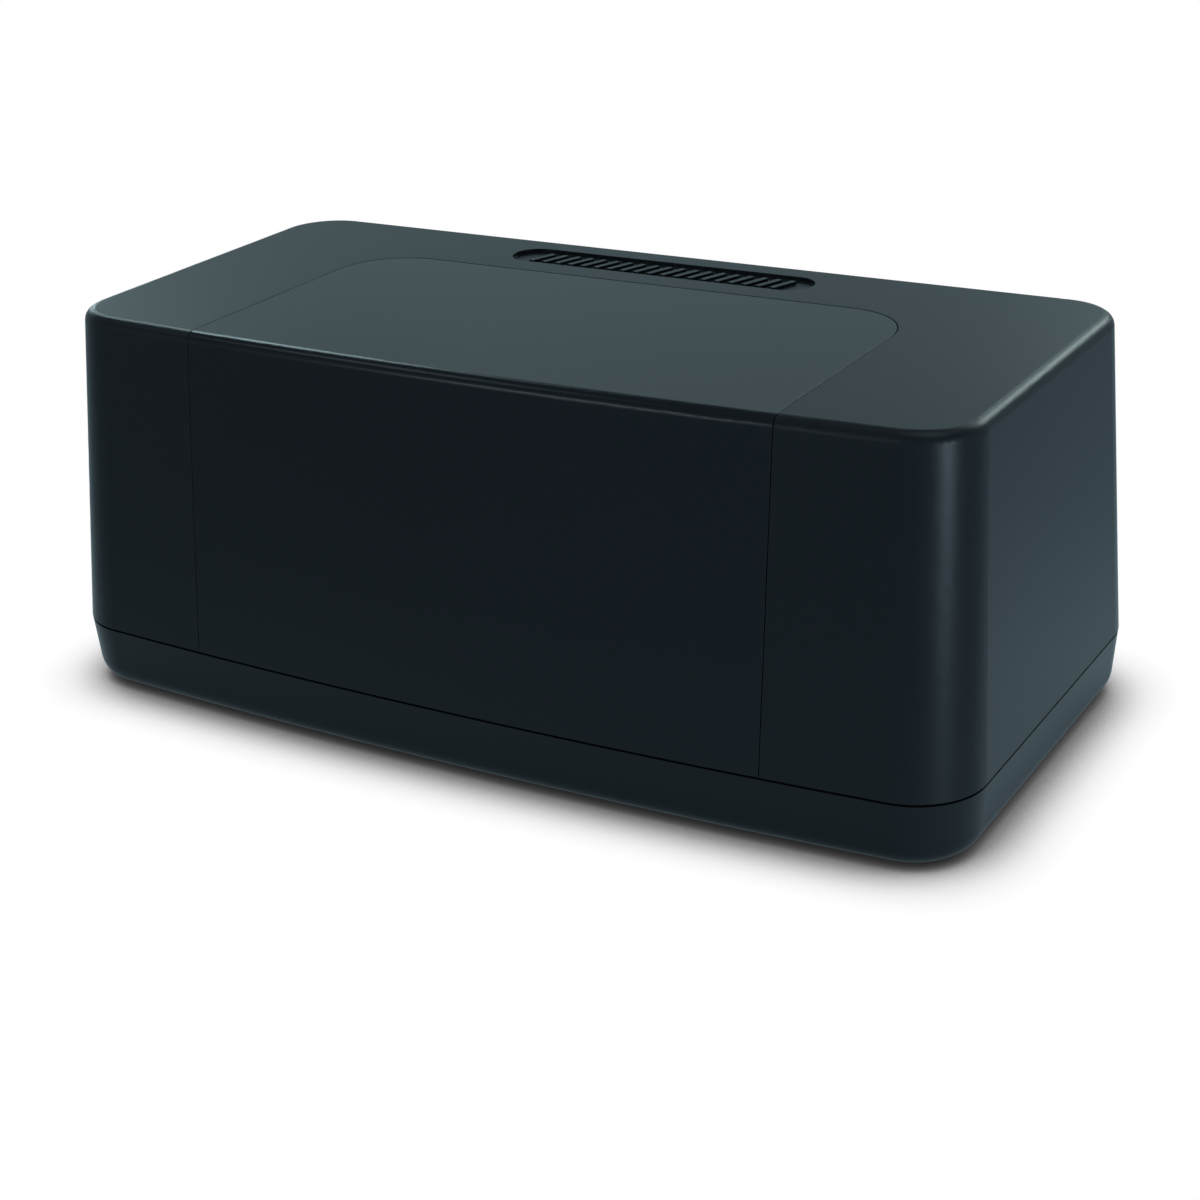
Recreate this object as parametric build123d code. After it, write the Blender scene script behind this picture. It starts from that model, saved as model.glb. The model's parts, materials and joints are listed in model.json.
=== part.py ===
from build123d import *
import os
from math import cos, radians, sin, sqrt, tan

os.makedirs("parts", exist_ok=True)

# Indoor television antenna: a closed box casing with a flip-up cover over a control bay.
# Millimetres. +X runs to the right, -Y is the front, +Z is up.
# The origin is the middle of the footprint, on the surface that the feet stand on.

# Casing outside
width = 280.0
depth = 142.0
shell_height = 92.0
base_height = 18.4
side_lean = 3.1
back_lean = 3.8
front_lean = 6.1
corner_radius_low = 19.5
corner_radius_high = 16.7
front_crown_low = 5.4
front_crown_high = 4.7
top_edge_radius = 3.2
wall = 2.5

# Base tray
base_inset = 0.15
base_wall = 3.0
base_floor = 2.5
base_side_lean = 5.1
base_edge_radius = 6.5
base_seam_gap = 0.7
tongue_rise = 4.5
tongue_clearance = 0.3
tongue_thickness = 1.6

# Feet
foot_stand = 0.8
foot_radius = 7.0
foot_recess = 1.2
foot_clearance = 0.2
foot_inset_x = 40.0
foot_inset_y = 22.0

# Casing screws and their columns
casing_screw_radius = 1.5
casing_screw_length = 22.0
casing_screw_head_radius = 2.9
casing_screw_head_height = 1.9
casing_screw_hole_clearance = 0.2
casing_post_radius = 4.5
casing_post_inset_x = 22.0
casing_post_inset_y = 25.0
column_radius = 5.0
counterbore_depth = 7.0
counterbore_clearance = 0.4
column_gap = 0.3

# Flip-up cover and its seam
cover_half_width = 88.0
rear_strip_depth = 39.2
cover_corner_radius = 20.0
seam_gap = 0.5
side_seam_gap = 0.3
edge_undercut = 0.6
edge_undercut_start = 20.0
rib_spacing = 44.0
rib_thickness = 1.6
rib_reach = 14.0

# Recess with plain raised bars on the rear strip of the top
recess_length = 98.0
recess_width = 14.5
recess_depth = 1.2
recess_set_back = 16.2
bar_count = 19
bar_pitch = 4.4
bar_width = 1.8
bar_length = 9.0
bar_height = 0.8
bar_slant = 20.0

# Hinge of the cover
pivot_depth = 6.0
pivot_set_back = 27.0
pin_radius = 1.5
pin_clearance = 0.05
pin_head_radius = 2.4
pin_head_thickness = 1.0
clip_radius = 2.6
clip_thickness = 0.8
eye_radius = 3.2
arm_inset = 26.0
arm_thickness = 4.0
arm_width = 6.0
arm_clearance = 0.8
arm_leg_angle = 85.0
ear_thickness = 3.1
washer_thickness = 0.4
washer_radius = 3.0
bracket_plate = 2.5
bracket_plate_wing = 8.0
bracket_depth = 17.0
foot_plate_thickness = 2.5
foot_plate_width = 12.0
foot_plate_length = 22.0
arm_boss_height = 3.0
arm_boss_radius = 3.0
arm_boss_spacing = 8.0
arm_boss_gap = 1.0
arm_screw_radius = 1.1
arm_screw_length = 5.0
arm_screw_head_radius = 2.1
arm_screw_head_height = 1.2

# Control bay behind the cover
bay_depth = 48.5
bay_wall = 2.5
bay_skin = 2.0
bay_skin_gap = 0.8
rim_under_cover = 6.0
rim_under_shell = 4.0
rear_wall_height = 40.0
bay_tab_gap = 1.0
bay_tab_width = 12.0
bay_tab_drop = 6.0
bay_tab_thickness = 2.5
bay_tab_front_inset = 41.0
bay_tab_rear_inset = 57.0
bay_post_radius = 3.6
bay_screw_radius = 1.25
bay_screw_length = 7.0
bay_screw_head_radius = 2.3
bay_screw_head_height = 1.5
bay_boss_radius = 3.2
bay_boss_height = 6.0
bumper_radius = 1.8
bumper_height = 1.5
bumper_gap = 0.3
bumper_inset = 3.0
bumper_front_inset = 33.0
bumper_rear_inset = 65.0

# Control fascia, board and controls
fascia_thickness = 1.5
fascia_width = 124.0
fascia_depth = 34.0
fascia_corner = 4.0
fascia_gap = 3.0
board_thickness = 1.6
control_board_drop = 9.9
control_board_margin = 2.0
control_post_radius = 3.0
control_post_inset = 5.0
small_screw_radius = 1.0
small_screw_length = 6.0
small_screw_head_radius = 1.9
small_screw_head_height = 1.2
sliding_clearance = 0.3

knob_x = 40.0
knob_radius = 11.0
knob_height = 9.8
knob_lift = 0.7
knob_edge_radius = 1.0
flute_count = 24
flute_radius = 0.9
pointer_width = 1.2
pointer_depth = 0.5
shaft_radius = 3.0
shaft_clearance = 0.05
shaft_cap = 3.0
pot_radius = 8.0
pot_height = 6.4
bushing_radius = 4.5
pot_floor = 1.4
tick_count = 11
tick_sweep = 300.0
tick_length = 2.4
tick_width = 0.7
tick_height = 0.3
tick_gap = 2.0

button_x = -44.0
button_radius = 6.0
button_stand = 2.5
button_travel = 1.5
button_flange = 1.2
button_flange_thickness = 1.2
button_edge_radius = 0.8
plunger_radius = 2.0
plunger_clearance = 0.1
plunger_depth = 5.5
switch_size = 8.0
switch_height = 6.0
switch_floor = 0.8

band_x = -6.0
band_travel = 4.0
lever_size = 4.0
lever_cap_size = 7.5
lever_cap_height = 2.5
lever_cap_lift = 0.3
lever_depth = 4.0
band_switch_length = 15.0
band_switch_width = 8.0
band_switch_height = 6.4

light_x = -25.0
light_radius = 1.5
light_clearance = 0.1
light_stand = 0.4
led_height = 3.0

# Antenna board and the metal elements on it
antenna_board_side_margin = 30.0
antenna_board_depth = 84.0
antenna_board_back_margin = 27.0
antenna_board_rise = 24.7
antenna_post_radius = 3.5
antenna_post_inset_x = 6.0
antenna_post_inset_y = 5.0
element_thickness = 0.5
element_gap = 16.0
element_feed_width = 12.0
element_tip_width = 62.0
element_tip_inset = 18.0
strip_height = 9.0
strip_thickness = 0.5
strip_inset = 1.5
strip_start = 42.0
balun_length = 12.0
balun_width = 8.0
balun_height = 7.0
balun_hole_radius = 1.3
balun_hole_spacing = 5.6
balun_wire_radius = 0.4
balun_wire_overhang = 2.0

# Amplifier board, shield and rear sockets
amplifier_width = 68.0
amplifier_depth = 25.0
amplifier_lift = 4.4
spacer_radius = 2.6
spacer_inset_x = 5.0
spacer_inset_y = 4.0
can_width = 30.0
can_depth = 16.0
can_height = 8.0
can_sheet = 0.5
can_front_inset = 4.0
can_x = -10.0
lead_radius = 1.1
lead_rise = 8.0
lead_bend = 3.0
lead_x = -26.0
lead_start_y = 8.0
header_x = 18.0
header_margin = 1.0
header_pins = 5
header_pitch = 2.54
header_width = 5.0
header_gap = 0.3
header_pin_radius = 0.35

recess_half_width = 30.0
recess_tall = 20.0
recess_in = 12.1
recess_wall = 2.0
recess_fit = 0.3
recess_flange = 5.0
socket_x = -14.0
socket_rise = 9.0
socket_neck_radius = 5.2
socket_radius = 4.76
socket_length = 9.0
socket_block = 11.0
socket_block_depth = 5.0
socket_bore_radius = 3.6
socket_hole_clearance = 0.15
socket_insulator_sink = 1.5
socket_contact_radius = 0.6
nut_across_flats = 13.0
nut_thickness = 2.0
inlet_x = 15.0
inlet_width = 9.0
inlet_height = 10.6
inlet_depth = 14.0
inlet_nose_radius = 4.0
inlet_bore_radius = 2.9
inlet_bore_depth = 9.0
inlet_pin_radius = 1.0
inlet_pin_sink = 1.0

# Levels and places that follow
seam_level = foot_stand + base_height
shell_bottom = seam_level + base_seam_gap
top_level = seam_level + shell_height
skin_under = top_level - wall
floor_top = foot_stand + base_floor
pivot_level = top_level - pivot_depth
cover_back = depth / 2 - rear_strip_depth
pivot_y = cover_back + pivot_set_back
arm_offset = cover_half_width - arm_inset
rim_front_y = cover_back - rim_under_cover
bay_half_width = cover_half_width - rim_under_cover
arm_radius = pivot_y - rim_front_y + arm_clearance + arm_width / 2
bay_floor_top = skin_under - bay_depth
bay_floor_under = bay_floor_top - bay_wall
rear_wall_back = pivot_y - arm_radius - arm_width / 2 - arm_clearance
rear_wall_front = rear_wall_back - bay_skin
rim_inset = wall + bay_skin_gap
foot_plate_top = skin_under - arm_boss_height
foot_plate_back = rim_front_y - arm_clearance
arm_boss_rear_y = foot_plate_back - arm_width - arm_screw_head_radius - arm_boss_gap
arm_boss_places = [arm_boss_rear_y, arm_boss_rear_y - arm_boss_spacing]
tab_top = skin_under - bay_tab_drop
tab_middle = cover_half_width + rim_under_shell + bay_tab_gap + bay_post_radius
tab_rows = (bay_tab_front_inset - depth / 2, depth / 2 - bay_tab_rear_inset)
tab_places = [(side * tab_middle, y) for side in (-1, 1) for y in tab_rows]
casing_post_x = width / 2 - casing_post_inset_x
casing_post_y = depth / 2 - casing_post_inset_y
casing_post_places = [(sx * casing_post_x, sy * casing_post_y) for sx in (-1, 1) for sy in (-1, 1)]
column_top = seam_level + tongue_rise
fascia_top = bay_floor_top + fascia_thickness
fascia_rear_y = rear_wall_front - fascia_gap
controls_y = fascia_rear_y - fascia_depth / 2
control_board_top = bay_floor_under - control_board_drop
control_board_under = control_board_top - board_thickness
control_board_width = fascia_width - 2 * control_board_margin
control_board_depth = fascia_depth - 2 * control_board_margin
antenna_board_width = width - 2 * antenna_board_side_margin
antenna_board_under = floor_top + antenna_board_rise
antenna_board_top = antenna_board_under + board_thickness
antenna_board_back = depth / 2 - antenna_board_back_margin
antenna_board_y = antenna_board_back - antenna_board_depth / 2
header_y = controls_y - control_board_depth / 2 + header_width / 2 + header_margin
header_strip_low = control_board_under - header_pitch
header_height = header_strip_low - header_gap - antenna_board_top
recess_low = column_top + tongue_clearance + recess_wall
recess_high = recess_low + recess_tall
socket_level = recess_low + socket_rise
recess_floor_front = depth / 2 - recess_in - recess_wall - recess_fit
recess_floor_back = recess_floor_front + recess_wall
socket_neck_end = recess_floor_back + nut_thickness
socket_tip = socket_neck_end + socket_length
amplifier_back = recess_floor_front - socket_block_depth
amplifier_y = amplifier_back - amplifier_depth / 2
amplifier_under = antenna_board_top + amplifier_lift
amplifier_top = amplifier_under + board_thickness
inlet_level = amplifier_top + inlet_height / 2
edge_slack = 1.0
far = 400.0


# Simple solids

def block(x0, x1, y0, y1, z0, z1):
    """Box between two opposite corners."""
    middle = ((x0 + x1) / 2, (y0 + y1) / 2, (z0 + z1) / 2)
    return Pos(*middle) * Box(x1 - x0, y1 - y0, z1 - z0)


def rod_up(x, y, low, high, radius):
    """Upright round rod."""
    return Pos(x, y, (low + high) / 2) * Cylinder(radius, high - low)


def rod_across(x0, x1, y, z, radius):
    """Round rod along X."""
    return Pos((x0 + x1) / 2, y, z) * Rot(0, 90, 0) * Cylinder(radius, x1 - x0)


def rod_back(x, y0, y1, z, radius):
    """Round rod along Y."""
    return Pos(x, (y0 + y1) / 2, z) * Rot(90, 0, 0) * Cylinder(radius, y1 - y0)


def upright_plate(points, x0, x1):
    """Plate across X with an outline of (y, z) points."""
    face = Plane.YZ * make_face(Polyline(*points, close=True))
    return Pos(x0, 0, 0) * extrude(face, x1 - x0, dir=(1, 0, 0))


def joined(pieces):
    """One part from several pieces."""
    whole = pieces[0]
    for piece in pieces[1:]:
        whole = whole + piece
    return whole


def group(pieces):
    """Separate solids kept together in one node."""
    solids = []
    for piece in pieces:
        solids.extend(piece.solids())
    return Compound(children=solids)


def cross_screw(x, y, seat, reach, radius, head_radius, head_height, up=True):
    """Pan-head screw with a cross recess; seat is the level under its head."""
    way = 1 if up else -1
    tip = seat + way * reach
    crown = seat - way * head_height
    shank = rod_up(x, y, min(seat, tip), max(seat, tip), radius)
    head = rod_up(x, y, min(seat, crown), max(seat, crown), head_radius)
    rim = head.edges().filter_by(GeomType.CIRCLE).sort_by(Axis.Z)[0 if up else -1]
    head = fillet(rim, head_height * 0.35)
    slot_half = head_radius * 0.6
    slot_width = head_radius * 0.14
    slot_floor = crown + way * head_height * 0.5
    low, high = sorted((crown - way * edge_slack, slot_floor))
    slots = block(x - slot_half, x + slot_half, y - slot_width, y + slot_width, low, high)
    slots = slots + block(x - slot_width, x + slot_width, y - slot_half, y + slot_half, low, high)
    return shank + head - slots


# Casing forms

def plan(rise, inset):
    """Outline of the casing at a height above the seam, drawn in by an inset."""
    share = rise / shell_height
    half = width / 2 - rise * tan(radians(side_lean))
    back = depth / 2 - rise * tan(radians(back_lean)) - inset
    middle = -depth / 2 + rise * tan(radians(front_lean))
    crown = front_crown_low + (front_crown_high - front_crown_low) * share
    radius = corner_radius_low + (corner_radius_high - corner_radius_low) * share - inset
    bend = (half ** 2 + crown ** 2) / (2 * crown)
    centre = middle + bend
    half = half - inset
    front = centre - sqrt((bend - inset) ** 2 - half ** 2)
    edges = [
        ThreePointArc((-half, front), (0, middle + inset), (half, front)),
        Line((half, front), (half, back)),
        Line((half, back), (-half, back)),
        Line((-half, back), (-half, front)),
    ]
    face = make_face(edges)
    return fillet(face.vertices(), radius)


def casing_form(inset, edge_radius=0.0):
    """Solid inside the casing's skin at an inset, from below the seam to the top."""
    low = -tongue_rise
    high = shell_height - inset
    sections = [Pos(0, 0, seam_level + rise) * plan(rise, inset) for rise in (low, high)]
    form = loft(sections, ruled=True)
    if edge_radius > 0:
        form = fillet(form.edges().group_by(Axis.Z)[-1], edge_radius)
    return form


def cover_region(side_margin, back_margin, low, high):
    """Upright prism over the cover's outline, grown at its sides and back and open to the front."""
    half = cover_half_width + side_margin
    back = cover_back + back_margin
    face = Pos(0, back - far / 2) * Rectangle(2 * half, far)
    face = fillet(face.vertices().group_by(Axis.Y)[-1], cover_corner_radius + side_margin)
    return Pos(0, 0, low) * extrude(face, high - low)


def undercut_region():
    """Prism that widens downwards, for the bevelled underside of the shell's rear seam."""
    faces = []
    for level, growth in ((top_level, 0.0), (skin_under - edge_slack, edge_undercut)):
        half = cover_half_width + side_seam_gap + growth
        back = cover_back + seam_gap + growth
        face = Pos(0, (back - edge_undercut_start) / 2) * Rectangle(2 * half, back + edge_undercut_start)
        face = fillet(face.vertices().group_by(Axis.Y)[-1], cover_corner_radius + side_seam_gap + growth)
        faces.append(Pos(0, 0, level) * face)
    return loft(faces, ruled=True)


outer_form = casing_form(0.0, top_edge_radius)
inner_form = casing_form(wall, top_edge_radius - wall)
rim_outer_form = casing_form(rim_inset)
rim_inner_form = casing_form(rim_inset + bay_skin)
above_seam = block(-far, far, -far, far, shell_bottom, far)


# Casing

def recess_places():
    """X places of the plain bars in the recess."""
    first = -(bar_count - 1) / 2 * bar_pitch
    return [first + index * bar_pitch for index in range(bar_count)]


def name_recess():
    """Shallow pill-shaped recess on the rear strip, with raised bars left standing in it."""
    y = cover_back + recess_set_back
    pill = extrude(SlotOverall(recess_length, recess_width), recess_depth + edge_slack)
    hollow = Pos(0, y, top_level - recess_depth) * pill
    bar = Box(bar_width, bar_length, bar_height + edge_slack)
    lift = top_level - recess_depth + (bar_height - edge_slack) / 2
    for x in recess_places():
        hollow = hollow - Pos(x, y, lift) * Rot(0, 0, -bar_slant) * bar
    return hollow


def upper_shell():
    """Main cover of the casing, open at the bottom, with the opening for the flip-up cover."""
    shell = (outer_form - inner_form) & above_seam
    for x, y in casing_post_places:
        post = rod_up(x, y, column_top + column_gap, skin_under + edge_slack, casing_post_radius)
        shell = shell + post
    for x, y in tab_places:
        shell = shell + rod_up(x, y, tab_top, skin_under + edge_slack, bay_post_radius)
    shell = shell - cover_region(side_seam_gap, seam_gap, 0, far)
    shell = shell - undercut_region()
    opening_half = recess_half_width + recess_wall + recess_fit
    opening_low = recess_low - recess_wall - recess_fit
    opening_high = recess_high + recess_wall + recess_fit
    shell = shell - block(-opening_half, opening_half, 0, far, opening_low, opening_high)
    for x, y in casing_post_places:
        reach = foot_stand + counterbore_depth + casing_screw_length
        shell = shell - rod_up(x, y, column_top, reach, casing_screw_radius)
    for x, y in tab_places:
        tip = tab_top - bay_tab_thickness + bay_screw_length
        shell = shell - rod_up(x, y, tab_top - edge_slack, tip, bay_screw_radius)
    return shell - name_recess()


def base_section(z, inset):
    """Outline of the base at a level."""
    return Pos(0, 0, z) * plan(0.0, inset)


def base_tray():
    """Shallow tray that carries everything, with a tongue that rises inside the shell."""
    lean = base_height * tan(radians(base_side_lean))
    outside = loft([base_section(foot_stand, base_inset + lean), base_section(seam_level, base_inset)], ruled=True)
    outside = fillet(outside.edges().group_by(Axis.Z)[0], base_edge_radius)
    tongue_inset = wall + tongue_clearance + tongue_thickness
    floor_inset = base_inset + lean + base_wall
    levels = [(floor_top, floor_inset), (seam_level, tongue_inset), (column_top + edge_slack, tongue_inset)]
    hollow = loft([base_section(z, inset) for z, inset in levels], ruled=True)
    hollow = fillet(hollow.edges().group_by(Axis.Z)[0], base_edge_radius - base_floor)
    tongue = casing_form(wall + tongue_clearance) & block(-far, far, -far, far, seam_level - edge_slack, column_top)
    tray = outside + tongue - hollow
    for x, y in casing_post_places:
        tray = tray + rod_up(x, y, floor_top - edge_slack, column_top, column_radius)
    for x, y in antenna_screw_places():
        tray = tray + rod_up(x, y, floor_top - edge_slack, antenna_board_under, antenna_post_radius)
    seat = foot_stand + counterbore_depth
    for x, y in casing_post_places:
        tray = tray - rod_up(x, y, 0, seat, casing_screw_head_radius + counterbore_clearance)
        tray = tray - rod_up(x, y, 0, far, casing_screw_radius + casing_screw_hole_clearance)
    for x, y in antenna_screw_places():
        tip = antenna_board_top - small_screw_length
        tray = tray - rod_up(x, y, tip, antenna_board_under + edge_slack, small_screw_radius)
    for x, y in foot_places().values():
        tray = tray - rod_up(x, y, 0, foot_stand + foot_recess, foot_radius + foot_clearance)
    return tray


def foot_places():
    """Place of each foot by its name."""
    x = width / 2 - foot_inset_x
    y = depth / 2 - foot_inset_y
    return {
        "foot_front_left": (-x, -y),
        "foot_front_right": (x, -y),
        "foot_rear_left": (-x, y),
        "foot_rear_right": (x, y),
    }


def foot(x, y):
    """Round rubber foot in its recess."""
    pad = rod_up(x, y, 0, foot_stand + foot_recess, foot_radius)
    rim = pad.edges().filter_by(GeomType.CIRCLE).sort_by(Axis.Z)[0]
    return fillet(rim, foot_stand * 0.6)


def casing_screws():
    """Four screws from under the base into the shell's posts."""
    seat = foot_stand + counterbore_depth
    sizes = (casing_screw_length, casing_screw_radius, casing_screw_head_radius, casing_screw_head_height)
    return group([cross_screw(x, y, seat, *sizes) for x, y in casing_post_places])


# Flip-up cover and its hinge

def cover_rib(x):
    """Corner gusset between the cover's front and top."""
    front = -depth / 2 + shell_height * tan(radians(front_lean)) + wall
    back = front + rib_reach
    low = skin_under - rib_reach
    corner = [(front - rib_reach, low), (back, skin_under + edge_slack), (front - rib_reach, skin_under + edge_slack)]
    rib = upright_plate(corner, x - rib_thickness / 2, x + rib_thickness / 2)
    return rib & inner_form


def flip_cover():
    """Cover over the front and most of the top, as one bent skin with gussets and arm bosses."""
    skin = (outer_form - inner_form) & cover_region(0.0, 0.0, shell_bottom, far)
    for x in (-rib_spacing, 0.0, rib_spacing):
        skin = skin + cover_rib(x)
    for side in (-1, 1):
        for y in arm_boss_places:
            boss = rod_up(side * arm_offset, y, foot_plate_top, skin_under + edge_slack / 2, arm_boss_radius)
            skin = skin + boss
            tip = foot_plate_top - foot_plate_thickness + arm_screw_length
            skin = skin - rod_up(side * arm_offset, y, foot_plate_top - edge_slack, tip, arm_screw_radius)
    return skin


def arc_bar():
    """Arc of the hinge arm, about the pivot, from the foot plate round to the leg."""
    inner = arm_radius - arm_width / 2
    outer = arm_radius + arm_width / 2
    ring = rod_across(-arm_thickness / 2, arm_thickness / 2, pivot_y, pivot_level, outer)
    ring = ring - rod_across(-arm_thickness, arm_thickness, pivot_y, pivot_level, inner)
    angle = radians(arm_leg_angle)
    leg_y = pivot_y - far * cos(angle)
    leg_z = pivot_level - far * sin(angle)
    wedge = upright_plate(
        [(pivot_y, pivot_level), (pivot_y - far, pivot_level), (leg_y, leg_z)],
        -arm_thickness,
        arm_thickness,
    )
    return ring & wedge


def arm_leg():
    """Straight leg of the hinge arm, from the pivot's eye to the arc."""
    reach = arm_radius + arm_width / 2
    bar = Pos(0, -reach / 2, 0) * Box(arm_thickness, reach, arm_width)
    return Pos(0, pivot_y, pivot_level) * Rot(arm_leg_angle, 0, 0) * bar


def hinge_arm(side):
    """Swan-neck arm that carries the cover round the edge of the rear strip."""
    outer = arm_radius + arm_width / 2
    reach = rod_across(-arm_thickness / 2, arm_thickness / 2, pivot_y, pivot_level, outer)
    arm = arc_bar() + (arm_leg() & reach)
    arm = arm + rod_across(-arm_thickness / 2, arm_thickness / 2, pivot_y, pivot_level, eye_radius)
    neck_back = pivot_y - arm_radius + arm_width / 2
    neck = block(-arm_thickness / 2, arm_thickness / 2, neck_back - arm_width, neck_back,
                 pivot_level - edge_slack, foot_plate_top)
    half = foot_plate_width / 2
    plate = block(-half, half, foot_plate_back - foot_plate_length, foot_plate_back,
                  foot_plate_top - foot_plate_thickness, foot_plate_top)
    arm = arm + neck + plate
    arm = arm - rod_across(-far, far, pivot_y, pivot_level, pin_radius + pin_clearance)
    for y in arm_boss_places:
        arm = arm - rod_up(0, y, 0, far, arm_screw_radius)
    return Pos(side * arm_offset, 0, 0) * arm


def arm_screws():
    """Screws that hold the arms' foot plates to the cover's bosses."""
    seat = foot_plate_top - foot_plate_thickness
    sizes = (arm_screw_length, arm_screw_radius, arm_screw_head_radius, arm_screw_head_height)
    places = [(side * arm_offset, y) for side in (-1, 1) for y in arm_boss_places]
    return group([cross_screw(x, y, seat, *sizes) for x, y in places])


def ear_span(which):
    """X limits of one ear of a bracket, measured from the arm's middle."""
    inner = arm_thickness / 2 + washer_thickness
    return sorted((which * inner, which * (inner + ear_thickness)))


def bracket_plate_half():
    """Half width of a bracket's foot."""
    return arm_thickness / 2 + washer_thickness + ear_thickness + bracket_plate_wing


def bracket_screw_places(side):
    """Screw places of one bracket."""
    reach = bracket_plate_half() - bracket_plate_wing / 2
    y = pivot_y + eye_radius - bracket_depth / 2
    return [(side * arm_offset + way * reach, y) for way in (-1, 1)]


def hinge_bracket(side):
    """Fork of two ears on a foot, screwed to the bay's floor, with the pivot at its top."""
    rear = pivot_y + eye_radius
    front = rear - bracket_depth
    plate_top = bay_floor_top + bracket_plate
    half = bracket_plate_half()
    bracket = block(-half, half, front, rear, bay_floor_top, plate_top)
    outline = [
        (front, plate_top - edge_slack),
        (rear, plate_top - edge_slack),
        (rear, pivot_level),
        (pivot_y - eye_radius, pivot_level),
    ]
    for which in (-1, 1):
        x0, x1 = ear_span(which)
        ear = upright_plate(outline, x0, x1) + rod_across(x0, x1, pivot_y, pivot_level, eye_radius)
        bracket = bracket + ear
    bracket = bracket - rod_across(-far, far, pivot_y, pivot_level, pin_radius)
    bracket = Pos(side * arm_offset, 0, 0) * bracket
    for x, y in bracket_screw_places(side):
        bracket = bracket - rod_up(x, y, 0, far, bay_screw_radius)
    return bracket


def bracket_screws():
    """Screws from above through the brackets into the bay's floor bosses."""
    seat = bay_floor_top + bracket_plate
    sizes = (bay_screw_length, bay_screw_radius, bay_screw_head_radius, bay_screw_head_height)
    places = bracket_screw_places(-1) + bracket_screw_places(1)
    return group([cross_screw(x, y, seat, *sizes, up=False) for x, y in places])


def hinge_pin(side):
    """Headed pin through both ears and the arm's eye, with a groove for its clip."""
    outer = arm_thickness / 2 + washer_thickness + ear_thickness
    tail = outer + 2 * clip_thickness + pin_clearance
    pin = rod_across(-outer - pin_head_thickness, -outer, pivot_y, pivot_level, pin_head_radius)
    pin = pin + rod_across(-outer - pin_head_thickness / 2, tail, pivot_y, pivot_level, pin_radius)
    return Pos(side * arm_offset, 0, 0) * pin


def hinge_clip(side):
    """Spring clip on the tail of the pin."""
    start = arm_thickness / 2 + washer_thickness + ear_thickness + pin_clearance
    ring = rod_across(start, start + clip_thickness, pivot_y, pivot_level, clip_radius)
    ring = ring - rod_across(start - edge_slack, start + edge_slack + clip_thickness, pivot_y, pivot_level, pin_radius)
    mouth = block(0, far, pivot_y - far, pivot_y, pivot_level - pin_radius * 0.7, pivot_level + pin_radius * 0.7)
    return Pos(side * arm_offset, 0, 0) * (ring - mouth)


def friction_washers():
    """Wave washers beside the arms, drawn flat, that let the cover stay where it is put."""
    washers = []
    for side in (-1, 1):
        for way in (-1, 1):
            start = way * (arm_thickness / 2 + pin_clearance)
            x0, x1 = sorted((start, way * (arm_thickness / 2 + washer_thickness)))
            ring = rod_across(x0, x1, pivot_y, pivot_level, washer_radius)
            ring = ring - rod_across(x0 - edge_slack, x1 + edge_slack, pivot_y, pivot_level, pin_radius + pin_clearance)
            washers.append(Pos(side * arm_offset, 0, 0) * ring)
    return group(washers)


# Control bay

def bay_rim():
    """Skin under the seams of the opening, on which the closed cover rests."""
    low = column_top + tongue_clearance
    band = cover_region(rim_under_shell, rim_under_shell, low, far)
    band = band - cover_region(-rim_under_cover, -rim_under_cover, 0, far)
    return (rim_outer_form - rim_inner_form) & band


def control_bay():
    """Tub behind the cover: floor, walls, front skin, rim, tabs and bosses."""
    side_out = bay_half_width + bay_wall
    floor_half = cover_half_width + rim_under_shell
    bay = bay_rim()
    floor = block(-floor_half, floor_half, -far, far, bay_floor_under, bay_floor_top) & rim_outer_form
    skin = (rim_outer_form - rim_inner_form) & block(
        -floor_half, floor_half, -far, 0, column_top + tongue_clearance, bay_floor_top
    )
    bay = bay + floor + skin
    for side in (-1, 1):
        x0, x1 = sorted((side * bay_half_width, side * side_out))
        bay = bay + (block(x0, x1, -far, rear_wall_back, bay_floor_under, far) & rim_outer_form)
    rear = block(-side_out, side_out, rear_wall_front, rear_wall_back, bay_floor_under, bay_floor_top + rear_wall_height)
    bay = bay + rear
    for x, y in tab_places:
        inner, outer = sorted((x / abs(x) * bay_half_width, x / abs(x) * (tab_middle + bay_post_radius)))
        tab = block(inner, outer, y - bay_tab_width / 2, y + bay_tab_width / 2, tab_top - bay_tab_thickness, tab_top)
        bay = bay + tab
    for x, y in bracket_screw_places(-1) + bracket_screw_places(1):
        bay = bay + rod_up(x, y, bay_floor_top + bracket_plate - bay_screw_length - edge_slack,
                           bay_floor_top - edge_slack, bay_boss_radius)
    for x, y in control_screw_places():
        bay = bay + rod_up(x, y, control_board_top, bay_floor_top - edge_slack, control_post_radius)
    for x, y in tab_places:
        bay = bay - rod_up(x, y, tab_top - bay_tab_thickness - edge_slack, tab_top + edge_slack, bay_screw_radius)
    for x, y in bracket_screw_places(-1) + bracket_screw_places(1):
        tip = bay_floor_top + bracket_plate - bay_screw_length
        bay = bay - rod_up(x, y, tip, far, bay_screw_radius)
    for x, y in control_screw_places():
        tip = control_board_under + small_screw_length
        bay = bay - rod_up(x, y, control_board_top - edge_slack, tip, small_screw_radius)
    for hole in control_holes():
        bay = bay - hole
    for x, y in bumper_places().values():
        seat = skin_under - bumper_gap - bumper_height
        bay = bay - rod_up(x, y, seat, skin_under, bumper_radius)
    return bay


def bay_screws():
    """Screws from below through the bay's tabs into the shell's posts."""
    seat = tab_top - bay_tab_thickness
    sizes = (bay_screw_length, bay_screw_radius, bay_screw_head_radius, bay_screw_head_height)
    return group([cross_screw(x, y, seat, *sizes) for x, y in tab_places])


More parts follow.
